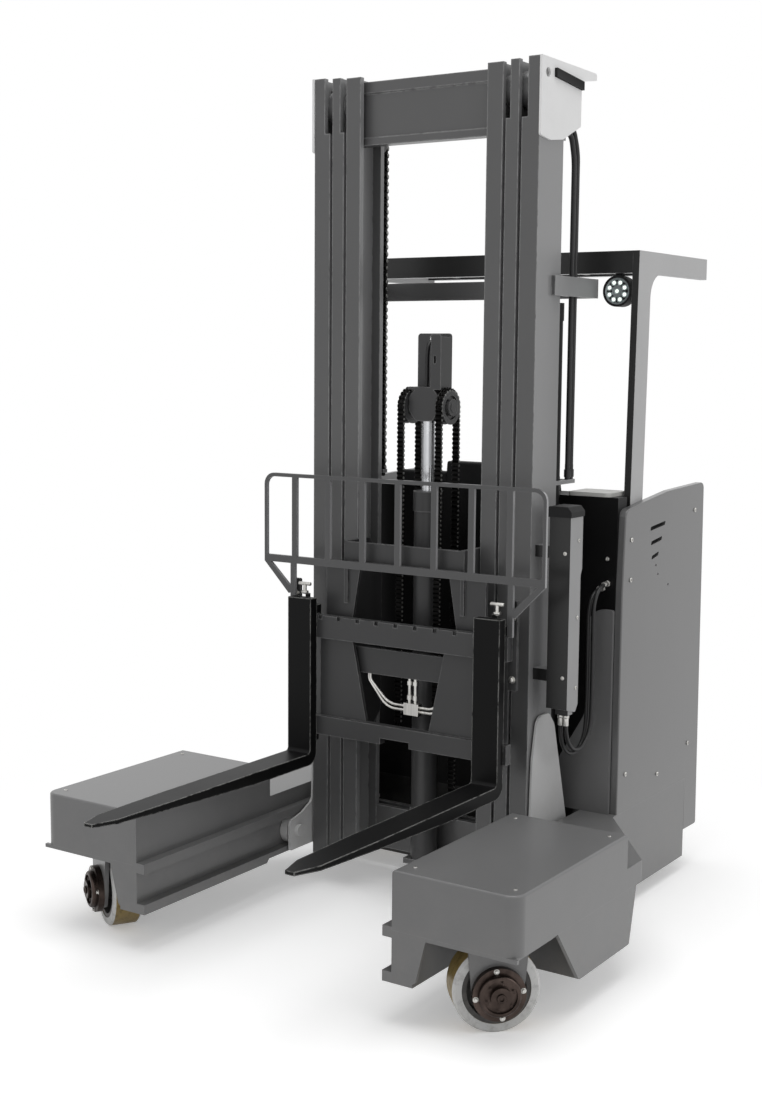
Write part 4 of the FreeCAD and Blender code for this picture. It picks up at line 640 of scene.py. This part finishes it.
# ------------------------------------------------------------------ operators
FINISHES = {
    "body": "leg_frame_left leg_frame_right leg_cover_left leg_cover_right steer_yoke_left "
            "steer_yoke_right front_pads",
    "chassis": "chassis_frame",
    "bronze": "wheel_hub_left wheel_hub_right",
    "iron": "load_rim_left load_rim_right drive_unit drive_wheel castor_fork battery_block",
    "tread_left": "load_tyre_left",
    "tread_right": "load_tyre_right",
    "tread": "drive_tyre castor_wheels",
    "panel": "side_panel_left side_panel_right",
    "black": "front_wall rear_wall lift_barrels",
    "plastic": "console controls work_lamps side_cover_cap",
    "pale": "hood_cover",
    "screen": "display",
    "rubber": "operator_floor",
    "guard": "overhead_guard",
    "gusset": "reach_carriage",
    "mast": "mast_outer mast_middle mast_inner",
    "light": "mast_top_plates",
    "cover": "mast_side_cover",
    "hose": "mast_hoses head_hoses loop_hose_outer loop_hose_inner",
    "chrome": "lift_rods free_rod",
    "carriage": "main_sheaves free_barrel free_head free_sheaves fork_carriage",
    "zinc": "carriage_pipes",
    "backrest": "load_backrest",
    "fork": "fork_left fork_right",
    "chain": "main_chains free_chains",
}
NODE_FINISH = {node: finish for finish, nodes in FINISHES.items() for node in nodes.split()}


class TRUCK_OT_finishes(bpy.types.Operator):
    """Gives every carried-over piece of the truck its paint, rubber or metal"""
    bl_idname = "truck.finishes"
    bl_label = "Paint the truck"

    def execute(self, context):
        make_materials(context.scene.truck_paint)
        for node, obj in frame["nodes"].items():
            obj.data.materials.clear()
            obj.data.materials.append(MATERIALS[NODE_FINISH[node]])
        return {"FINISHED"}


PANEL_TOP_SCREW = 0.10  # below the panel's top edge
PANEL_SCREWS = [(0.062, 1.337), (0.063, 1.196), (0.062, 0.50), (0.62, None), (0.62, 0.50),
                (0.34, 0.44)]  # behind the front edge, and height; None is the one at the top
WALL_SCREWS = (0.035, (1.272, 0.86))  # from the wall's side edge, and heights
COVER_SIDE_SCREWS = (0.03, (1.36, 1.10, 0.86))  # from the rear edge of the mast cover, and heights
COVER_FRONT_SCREWS = (0.018, (1.32, 0.90))  # from its outer edge, and heights
BAR_BOLTS = (0.447, 0.03, (0.90, 1.11))  # out from the middle, behind the bars' front, and heights
LEG_COVER_SCREWS = ((0.545, 0.88), 0.06, 0.05)  # out from the middle, and from the front and rear edge
HUB_BOLT_CIRCLE, HUB_BOLT_DEPTH = 0.0715, 0.026  # depth is behind the hub's outermost face
HUB_STUD_CIRCLE, HUB_STUD_DEPTH = 0.041, 0.007


class TRUCK_OT_fasteners(bpy.types.Operator):
    """Bolts and screws of the side panels, front wall, mast cover, leg covers and carriage"""
    bl_idname = "truck.fasteners"
    bl_label = "Bolts and screws"

    def execute(self, context):
        flats = context.scene.truck_parts.bolt_head
        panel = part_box("side_panel_left")
        side, front, top = panel[1].x, panel[0].y, panel[1].z
        spots = []
        for sign, outward in ((1, "+x"), (-1, "-x")):
            for behind, z in PANEL_SCREWS:
                place = Vector((sign * side, front + behind, z or top - PANEL_TOP_SCREW))
                spots.append((place, FACING[outward]))
        screws(flats * 0.5, spots, "chassis")
        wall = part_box("front_wall")
        inset, heights = WALL_SCREWS
        screws(flats * 0.45, [(Vector((sign * (wall[1].x - inset), wall[0].y, z)), FACING["-y"])
                              for sign in (1, -1) for z in heights], "chassis")
        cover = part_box("mast_side_cover")
        inset, heights = COVER_SIDE_SCREWS
        spots = [(Vector((cover[1].x, cover[1].y - inset, z)), FACING["+x"]) for z in heights]
        inset, heights = COVER_FRONT_SCREWS
        spots += [(Vector((cover[1].x - inset, cover[0].y, z)), FACING["-y"]) for z in heights]
        screws(flats * 0.4, spots, "mast_outer")
        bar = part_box("fork_carriage")
        out, inset, heights = BAR_BOLTS
        spots = [(Vector((sign * out, bar[0].y + inset, z)), FACING["-y"])
                 for sign in (1, -1) for z in heights]
        spread(make_bolt(flats * 0.9), spots, "carriage", "zinc")
        outs, ahead, behind = LEG_COVER_SCREWS
        for name, sign in (("left", 1), ("right", -1)):
            low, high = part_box("leg_cover_" + name)
            screws(flats * 0.36, [(Vector((sign * x, y, high.z - 0.001)), FACING["+z"])
                                  for x in outs for y in (low.y + ahead, high.y - behind)], "chassis")
        return {"FINISHED"}


class TRUCK_OT_hub_bolts(bpy.types.Operator):
    """Flange bolts and centre plug of the two steered load wheels"""
    bl_idname = "truck.hub_bolts"
    bl_label = "Hub bolts"

    def execute(self, context):
        flats = context.scene.truck_parts.bolt_head
        for side, (centre, axle) in ROLL.items():
            outward = axle if axle.x * centre.x > 0 else -axle
            turn = outward.to_track_quat("Z", "Y").to_euler()
            across = Vector((-outward.y, outward.x, 0))
            hub = frame["nodes"]["wheel_hub_" + side]
            reach = max((v.co - centre).dot(outward) for v in hub.data.vertices)
            bolts = ring_places(centre + outward * (reach - HUB_BOLT_DEPTH), across, UP,
                                HUB_BOLT_CIRCLE, 4, 8.0)
            spread(make_bolt(flats * 0.62), [(place, turn) for place in bolts], "steer_" + side,
                   "zinc")
            studs = ring_places(centre + outward * (reach - HUB_STUD_DEPTH), across, UP,
                                HUB_STUD_CIRCLE, 6, 20.0)
            spread(make_socket_screw(flats * 0.24), [(place, turn) for place in studs],
                   "steer_" + side, "bronze")
            spread(make_socket_screw(flats * 0.85), [(centre + outward * (reach - 0.001), turn)],
                   "steer_" + side, "bronze")
        return {"FINISHED"}


class TRUCK_OT_lock_pins(bpy.types.Operator):
    """T-shaped lock pins that stand on the hooks of the two forks"""
    bl_idname = "truck.lock_pins"
    bl_label = "Fork lock pins"

    def execute(self, context):
        for side, sign in (("left", 1), ("right", -1)):
            low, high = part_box("fork_" + side)
            at = Vector(((low.x + high.x) / 2 + sign * 0.012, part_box("fork_carriage")[0].y + 0.012, high.z))
            stem = round_bar("pin", at + UP * 0.014, 0.0065, 0.034, "z", 20)
            collar = round_bar("collar", at + UP * 0.004, 0.013, 0.010, "z", 24)
            bevel_all(collar, 0.002, 2)
            grip = round_bar("grip", at + UP * 0.034, 0.0065, 0.052, "x", 20)
            bevel_all(grip, 0.0025, 3)
            pin = joined([stem, collar, grip], "lock_pin_" + side)
            complete(pin, "fork_" + side, "zinc")
        return {"FINISHED"}


class TRUCK_OT_floor_mat(bpy.types.Operator):
    """Studded rubber mat on the driver's floor"""
    bl_idname = "truck.floor_mat"
    bl_label = "Floor mat"

    def execute(self, context):
        parts = context.scene.truck_parts
        low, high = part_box("operator_floor")  # its top is the rim at the front, above the mat's face
        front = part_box("console")[1].y
        stud = round_bar("mat_studs", (0, 0, 0.0), parts.stud / 2, 0.004, "z", 10)
        with editing():
            pick(lambda n: n.z > 0.9)
            bpy.ops.transform.resize(value=(0.75, 0.75, 1))
            pick(lambda n: n.z < -0.9)
            bpy.ops.mesh.delete(type="FACE")
        columns = int((high.x - low.x - 0.08) / parts.stud_pitch)
        rows = int((high.y - front - 0.08) / parts.stud_pitch)
        spots = [(Vector(((c - columns / 2) * parts.stud_pitch, front + 0.05 + r * parts.stud_pitch,
                          high.z - 0.001)), FACING["+z"])
                 for c in range(columns + 1) for r in range(rows + 1)]
        spread(stud, spots, "chassis", "rubber")
        return {"FINISHED"}


# Middle of the outer hose, from its lower fitting round the loop to its upper one.
LOOP_ROUTE = [(0.548, 0.155, 0.764), (0.548, 0.155, 0.728), (0.551, 0.155, 0.674), (0.552, 0.187, 0.630),
              (0.554, 0.240, 0.611), (0.555, 0.293, 0.628), (0.556, 0.325, 0.672), (0.557, 0.330, 0.738),
              (0.559, 0.326, 0.850), (0.561, 0.320, 0.960), (0.562, 0.317, 1.050), (0.562, 0.318, 1.098),
              (0.563, 0.335, 1.142), (0.565, 0.374, 1.169), (0.565, 0.420, 1.169)]


class TRUCK_OT_loop_hoses(bpy.types.Operator):
    """The two hydraulic hoses that hang in a loop beside the mast, with their crimped fittings"""
    bl_idname = "truck.loop_hoses"
    bl_label = "Hanging hoses"

    def execute(self, context):
        for k, node in enumerate(("loop_hose_outer", "loop_hose_inner")):
            points = [Vector((x + 0.019 * k, y, z + 0.017 * k)) for x, y, z in LOOP_ROUTE]
            points[0].z = LOOP_ROUTE[0][2]
            data = bpy.data.curves.new(node.replace("hose", "hydraulic_hose"), "CURVE")
            data.dimensions = "3D"
            data.bevel_depth = HOSE_DIAMETER / 2
            data.bevel_resolution = 5
            data.resolution_u = 10
            data.use_fill_caps = True
            line = data.splines.new("NURBS")
            line.points.add(len(points) - 1)
            for point, place in zip(line.points, points):
                point.co = (*place, 1.0)
            line.order_u = 3
            line.use_endpoint_u = True
            hose = bpy.data.objects.new(data.name, data)
            bpy.context.collection.objects.link(hose)
            data.materials.append(MATERIALS["hose"])
            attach(hose, "chassis")
            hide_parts(node)
            fittings = []
            for end, axis, step in ((points[0], "z", -UP), (points[-1], "y", Vector((0, -1, 0)))):
                sleeve = round_bar("sleeve", end + step * 0.020, 0.0095, 0.030, axis, 24)
                bevel_all(sleeve, 0.0012, 2)
                nut = round_bar("nut", end + step * 0.004, 0.0120, 0.010, axis, 6)
                bevel_all(nut, 0.001, 1)
                fittings += [sleeve, nut]
            ends = complete(joined(fittings, node + "_fittings"), "chassis", "zinc")
        return {"FINISHED"}


def chain_places(y, radius, top, low_front, low_rear, pitch):
    """Positions and tilts of a chain's links in the middle plane, by front fall, turn over the
    sheave and rear fall."""
    front, over, rear = [], [], []
    z = low_front + pitch / 2
    while z < top:
        front.append((Vector((0, y - radius, z)), 0.0))
        z += pitch
    count = max(1, round(math.pi * radius / pitch))
    for k in range(count):
        a = math.pi * (k + 0.5) / count
        over.append((Vector((0, y - radius * math.cos(a), top + radius * math.sin(a))), -a))
    z = top - pitch / 2
    while z > low_rear:
        rear.append((Vector((0, y + radius, z)), math.pi))
        z -= pitch
    return {"front": front, "over": over, "rear": rear}


def waisted_leaf(x, thick, pitch, height, waist):
    """One plate of leaf chain: narrow in the middle, wide and rounded where its pins are."""
    leaf = cube("leaf", (x - thick / 2, -height * waist / 2, -pitch * 0.12),
                (x + thick / 2, height * waist / 2, pitch * 0.12))
    with editing():
        for sign in (1, -1):
            for step, scale in ((0.16, 1.0 / waist), (0.36, 1.0), (0.12, 0.45)):
                pick(lambda n: n.z * sign > 0.9)
                extrude(z=sign * step * pitch)
                bpy.ops.transform.resize(value=(1, scale, 1))
    return leaf


def leaf_link(pitch, width, height, waist):
    """One pitch of leaf chain: plates that overlap from pin to pin."""
    leaves = []
    for k in range(5):
        leaf = waisted_leaf(width * (k - 2) * 0.2, width * 0.12, pitch, height, waist)
        if k % 2:
            leaf.location.z += pitch
            apply_place(rotation=False, scale=False)
        leaves.append(leaf)
    return joined(leaves, "link")


# The two bodies that each fall stretches between, its low end's first. The free chains' front fall
# hangs on the carriage, and the sheaves rise half as far as the carriage does, so the top of that
# fall is halfway between mast_inner and the carriage.
CHAIN_JOINS = {("main_chains", "front"): ("mast_inner", "mast_middle"),
               ("main_chains", "rear"): ("mast_outer", "mast_middle"),
               ("free_chains", "front"): ("carriage", "mast_inner"),
               ("free_chains", "rear"): ("mast_inner", "free_lift_head")}
FRONT_FALL_EASE = 0.20  # how much further a front fall's span is taken past its ends; the span is worked out but not used


class TRUCK_OT_chains(bpy.types.Operator):
    """Leaf chains of the free lift and of the mast, laid over their sheaves"""
    bl_idname = "truck.chains"
    bl_label = "Leaf chains"

    def execute(self, context):
        parts = context.scene.truck_parts
        for node, body, pitch, width, height, rivet in (
                ("free_chains", "free_lift_head", parts.free_pitch, 0.025, 0.0150, 0.004),
                ("main_chains", "mast_middle", parts.main_pitch, 0.022, 0.0220, 0.008)):
            low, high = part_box(node)
            radius = (high.y - low.y) / 2 - CHAIN_RUN / 2
            wheel_y = (high.y + low.y) / 2
            wheel_z = high.z - radius - CHAIN_RUN / 2
            if node == "free_chains":
                ends = (low.z + 0.320, low.z)
            else:
                ends = (low.z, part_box("mast_hoses")[0].z)
            aside = Vector((high.x - 0.010, 0, 0))
            falls = chain_places(wheel_y, radius, wheel_z, ends[0] + CHAIN_RUN, ends[1] + CHAIN_RUN, pitch)
            for fall, places in falls.items():
                spots, pin_spots = [], []
                for where, tilt in places:
                    turn = Euler((tilt, 0, 0))
                    pin = where + turn.to_matrix() @ (UP * pitch / 2)
                    spots += [(where + aside, turn), (where - aside, turn)]
                    pin_spots += [(pin + aside, turn), (pin - aside, turn)]
                between = CHAIN_JOINS.get((node, fall))
                rides = None if between else body
                links = spread(leaf_link(pitch, width, height, 0.42), spots, rides, "chain", 30.0)
                links.name = node + "_links_" + fall
                pin = round_bar("pin", (0, 0, 0), height * 0.3, width + rivet, "x", 10)
                bevel_all(pin, height * 0.05, 1)
                pins = spread(pin, pin_spots, rides, "pin", 30.0)
                pins.name = node + "_pins_" + fall
                if between:
                    start = ends[0 if fall == "front" else 1]
                    end = wheel_z
                    if body not in between:
                        start, end = start - FRONT_FALL_EASE, 2 * wheel_z - start + FRONT_FALL_EASE
                    for piece in (links, pins):
                        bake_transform(piece)
                if fall == "over":
                    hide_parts(node)
        return {"FINISHED"}


class TRUCK_OT_backings(bpy.types.Operator):
    """Black sheet behind the panel vents and black rubber block in the slot of the mast top plates, both
    painted shade
    """
    bl_idname = "truck.backings"
    bl_label = "Painted shade in vents and slots"

    def execute(self, context):
        low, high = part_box("side_panel_left")
        # Painted shade: a black sheet behind each side panel's vents darkens them.
        shade_sheets = []
        for sign in (1, -1):
            near, far = sorted((sign * (high.x - 0.0254), sign * (high.x - 0.0284)))
            sheet = cube("vent_shade_sheet", (near, low.y + 0.190, 1.215), (far, low.y + 0.400, 1.385))
            bevel_all(sheet, 0.001, 1)
            shade_sheets.append(sheet)
        complete(joined(shade_sheets, "vent_shade_sheets"), "chassis", "plastic")
        low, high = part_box("mast_top_plates")
        # Painted shadow: black rubber blocks in the slots, standing for the shade under the plates' top
        # flange.
        shade_blocks = []
        for sign in (1, -1):
            block = cube("slot_shade_block", (high.x - 0.024, low.y + 0.088, high.z - 0.058),
                         (high.x + 0.010, low.y + 0.286, high.z - 0.030))
            with editing():
                pick(lambda n: n.y > 0.9)
                bpy.ops.transform.translate(value=(0, 0, -0.017))
                pick(lambda n: n.x > 0.9)
                bpy.ops.mesh.inset(thickness=0.004)
                bpy.ops.transform.translate(value=(-0.002, 0, 0))
            if sign < 0:
                only(block)
                bpy.ops.transform.mirror(constraint_axis=(True, False, False), center_override=(0, 0, 0))
                apply_place()
                with editing():
                    bpy.ops.mesh.select_all(action="SELECT")
                    bpy.ops.mesh.normals_make_consistent(inside=False)
            shade_blocks.append(block)
        complete(joined(shade_blocks, "slot_shade_blocks"), "mast_outer", "rubber")
        return {"FINISHED"}


class TRUCK_OT_dash(bpy.types.Operator):
    """Bezel of the display, and cap and collar of the stop button"""
    bl_idname = "truck.dash"
    bl_label = "Dash parts"

    def execute(self, context):
        low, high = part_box("display")
        lean = math.atan2(high.y - low.y - 0.026, high.z - low.z)
        middle = Vector(((low.x + high.x) / 2, high.y - 0.011, (low.z + high.z) / 2))
        bezel = cube("bezel", (-0.088, -0.003, -0.048), (0.088, 0.003, 0.048))
        with editing():
            pick(lambda n: n.y > 0.9)
            bpy.ops.mesh.inset(thickness=0.012)
            extrude(y=-0.003)
        bevel_all(bezel, 0.0012, 2)
        spread(bezel, [(middle, Euler((lean, 0, 0)))], "chassis", "plastic")
        low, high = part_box("controls")
        button = Vector((0, (low.y + high.y) / 2, low.z + 0.028))
        cap = round_bar("stop_cap", (0, 0, 0.006), 0.0225, 0.012, "z", 32)
        bevel_all(cap, 0.005, 3)
        collar = round_bar("stop_collar", (0, 0, -0.026), 0.026, 0.006, "z", 32)
        bevel_all(collar, 0.0015, 2)
        spread(cap, [(button, FACING["+z"])], "chassis", "red")
        spread(collar, [(button + UP * 0.001, FACING["+z"])], "chassis", "zinc")
        return {"FINISHED"}


LAMP_RADIUS = 0.054
LED_RING_RADIUS = 0.031


class TRUCK_OT_lamps(bpy.types.Operator):
    """Reflector cups, light points, face and rim of the two work lamps"""
    bl_idname = "truck.lamps"
    bl_label = "Work lamps"

    def execute(self, context):
        low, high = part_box("work_lamps")
        radius = LAMP_RADIUS
        z, front = low.z + radius, low.y
        count = context.scene.truck_parts.led_count
        for sign, side in ((1, "left"), (-1, "right")):
            x = sign * (high.x - radius)
            cup = round_bar("reflector", (0, 0, 0.0025), 0.0105, 0.005, "z", 16)
            with editing():
                pick(lambda n: n.z > 0.9)
                bpy.ops.mesh.inset(thickness=0.0015)
                extrude(z=-0.0035)
                bpy.ops.transform.resize(value=(0.5, 0.5, 1))
            middle = Vector((x, front + 0.0036, z))
            ring = ring_places(middle, Vector((1, 0, 0)), UP, LED_RING_RADIUS, count, 180.0 / count)
            spots = [(place, FACING["-y"]) for place in [middle] + ring]
            spread(cup, spots, "chassis", "led")
            dome = round_bar("chip", (0, 0, 0.003), 0.0062, 0.005, "z", 16)
            bevel_all(dome, 0.0018, 3)
            spread(dome, spots, "chassis", "chip")
            disc = round_bar("lamp_face", (x, front + 0.0046, z), radius - 0.008, 0.0024, "y", 48)
            with editing():
                pick(lambda n: n.y < -0.9)
                bpy.ops.mesh.inset(thickness=0.004)
                bpy.ops.transform.translate(value=(0, 0.0008, 0))
            complete(disc, "chassis", "led")
            rim = round_bar("lamp_rim_" + side, (x, front + 0.004, z), radius - 0.0005, 0.007, "y", 48)
            with editing():
                pick(lambda n: n.y < -0.9)
                bpy.ops.mesh.inset(thickness=0.007)
                bpy.ops.mesh.delete(type="FACE")
                pick(lambda n: n.y > 0.9)
                bpy.ops.mesh.delete(type="FACE")
            solid = rim.modifiers.new("Wall", "SOLIDIFY")
            solid.thickness = 0.0015
            bpy.ops.object.modifier_apply(modifier=solid.name)
            complete(rim, "chassis", "plastic")
        return {"FINISHED"}


def seen_directly(g):
    """1 for rays from the camera, off a glossy face or through glass, else 0."""
    path = g.node("ShaderNodeLightPath")
    return g.math("MAXIMUM", path.outputs["Is Camera Ray"],
                  g.math("MAXIMUM", path.outputs["Is Glossy Ray"], path.outputs["Is Transmission Ray"]))


CAMERA_PLACE = (2.931, -4.513, 1.970)
CAMERA_TURN = tuple(math.radians(a) for a in (33.7715, 7.0937, 0.4606))  # left, down and roll
CAMERA_LENS = 51.323


class TRUCK_OT_stage(bpy.types.Operator):
    """Pale floor, soft lamps, even light and the camera"""
    bl_idname = "truck.stage"
    bl_label = "Studio and camera"

    def execute(self, context):
        stage = context.scene.truck_stage
        deselect()
        bpy.ops.mesh.primitive_plane_add(size=60.0, location=(0, 0, 0))
        floor = bpy.context.object
        floor.name = "studio_floor"
        material = bpy.data.materials.new("Studio floor")
        material.use_nodes = True
        tree = material.node_tree
        g = Graph(tree)
        shader = tree.nodes["Principled BSDF"]
        g.drive(shader, Base_Color=(0.93, 0.93, 0.93), Roughness=0.9, Specular_IOR_Level=0.1)
        where = g.node("ShaderNodeTexCoord").outputs["Object"]
        length = g.node("ShaderNodeVectorMath", operation="LENGTH")
        g.link(where, length.inputs[0])
        far = g.ramp(length.outputs["Value"], 1.2, 2.5)
        seen = seen_directly(g)
        white = g.node("ShaderNodeEmission", in_Strength=1.0)
        blend = g.node("ShaderNodeMixShader")
        g.link(g.math("MULTIPLY", far, seen), blend.inputs[0])
        g.link(white.outputs[0], blend.inputs[2])
        lift = g.node("ShaderNodeAddShader")
        wash = g.node("ShaderNodeEmission")
        g.link(g.math("MULTIPLY", seen, stage.floor_wash), wash.inputs["Strength"])
        g.link(shader.outputs[0], lift.inputs[0])
        g.link(wash.outputs[0], lift.inputs[1])
        g.link(lift.outputs[0], blend.inputs[1])
        g.link(blend.outputs[0], tree.nodes["Material Output"].inputs["Surface"])
        floor.data.materials.append(material)

        world = bpy.data.worlds.new("Studio")
        context.scene.world = world
        world.use_nodes = True
        tree = world.node_tree
        g = Graph(tree)
        seen = seen_directly(g)
        strength = g.math("ADD", g.math("MULTIPLY", seen, 1.0 - stage.ambient), stage.ambient)
        back = tree.nodes["Background"]
        back.inputs["Color"].default_value = (1, 1, 1, 1)
        g.link(strength, back.inputs["Strength"])

        for name, place, aim, size, power in (
                ("top_lamp", (0.46, -0.77, 9.0), (0, 0, 0.5), 6.95, stage.key),
                ("side_lamp", (6.5, 0.5, 3.2), (0, 0.2, 1.2), 3.5, stage.side),
                ("front_lamp", (0.6, -7.0, 3.0), (0, 0, 1.2), 3.5, stage.front)):
            lamp = bpy.data.lights.new(name, "AREA")
            lamp.energy = power
            lamp.size = size
            obj = bpy.data.objects.new(name, lamp)
            bpy.context.collection.objects.link(obj)
            obj.location = place
            obj.rotation_euler = (Vector(aim) - Vector(place)).to_track_quat("-Z", "Y").to_euler()

        yaw, pitch, roll = CAMERA_TURN
        ahead = Vector((-math.sin(yaw) * math.cos(pitch), math.cos(yaw) * math.cos(pitch), -math.sin(pitch)))
        right = Vector((math.cos(yaw), math.sin(yaw), 0))
        up = right.cross(ahead)
        right_r = right * math.cos(roll) + up * math.sin(roll)
        up_r = up * math.cos(roll) - right * math.sin(roll)
        camera = bpy.data.cameras.new("studio_camera")
        camera.sensor_fit = "AUTO"
        camera.sensor_width = 36.0
        camera.lens = CAMERA_LENS
        camera.clip_end = 100.0
        obj = bpy.data.objects.new("studio_camera", camera)
        bpy.context.collection.objects.link(obj)
        turn = Matrix((right_r, up_r, -ahead)).transposed().to_4x4()
        obj.matrix_world = Matrix.Translation(CAMERA_PLACE) @ turn
        context.scene.camera = obj
        context.scene.view_settings.view_transform = "Standard"
        return {"FINISHED"}


class TRUCK_PT_panel(bpy.types.Panel):
    """Lists the steps in the sidebar of the 3D view"""
    bl_idname = "TRUCK_PT_panel"
    bl_label = "Reach truck"
    bl_space_type = "VIEW_3D"
    bl_region_type = "UI"
    bl_category = "Reach Truck"

    def draw(self, context):
        for group in ("truck_paint", "truck_parts", "truck_stage"):
            settings = getattr(context.scene, group)
            column = self.layout.column()
            for name in settings.bl_rna.properties.keys():
                if name not in ("rna_type", "name"):
                    column.prop(settings, name)
        for step in STEPS:
            self.layout.operator(step.bl_idname)


STEPS = (TRUCK_OT_finishes, TRUCK_OT_fasteners, TRUCK_OT_hub_bolts, TRUCK_OT_lock_pins,
         TRUCK_OT_floor_mat, TRUCK_OT_loop_hoses, TRUCK_OT_chains, TRUCK_OT_backings,
         TRUCK_OT_dash, TRUCK_OT_lamps, TRUCK_OT_stage)
CLASSES = (PaintSettings, PartSettings, StageSettings) + STEPS + (TRUCK_PT_panel,)


def register():
    for item in CLASSES:
        bpy.utils.register_class(item)
    bpy.types.Scene.truck_paint = PointerProperty(type=PaintSettings)
    bpy.types.Scene.truck_parts = PointerProperty(type=PartSettings)
    bpy.types.Scene.truck_stage = PointerProperty(type=StageSettings)


def unregister():
    del bpy.types.Scene.truck_stage
    del bpy.types.Scene.truck_parts
    del bpy.types.Scene.truck_paint
    for item in reversed(CLASSES):
        bpy.utils.unregister_class(item)


def main():
    register()
    for step in STEPS:
        group, name = step.bl_idname.split(".")
        getattr(getattr(bpy.ops, group), name)()


if __name__ == "__main__":
    main()
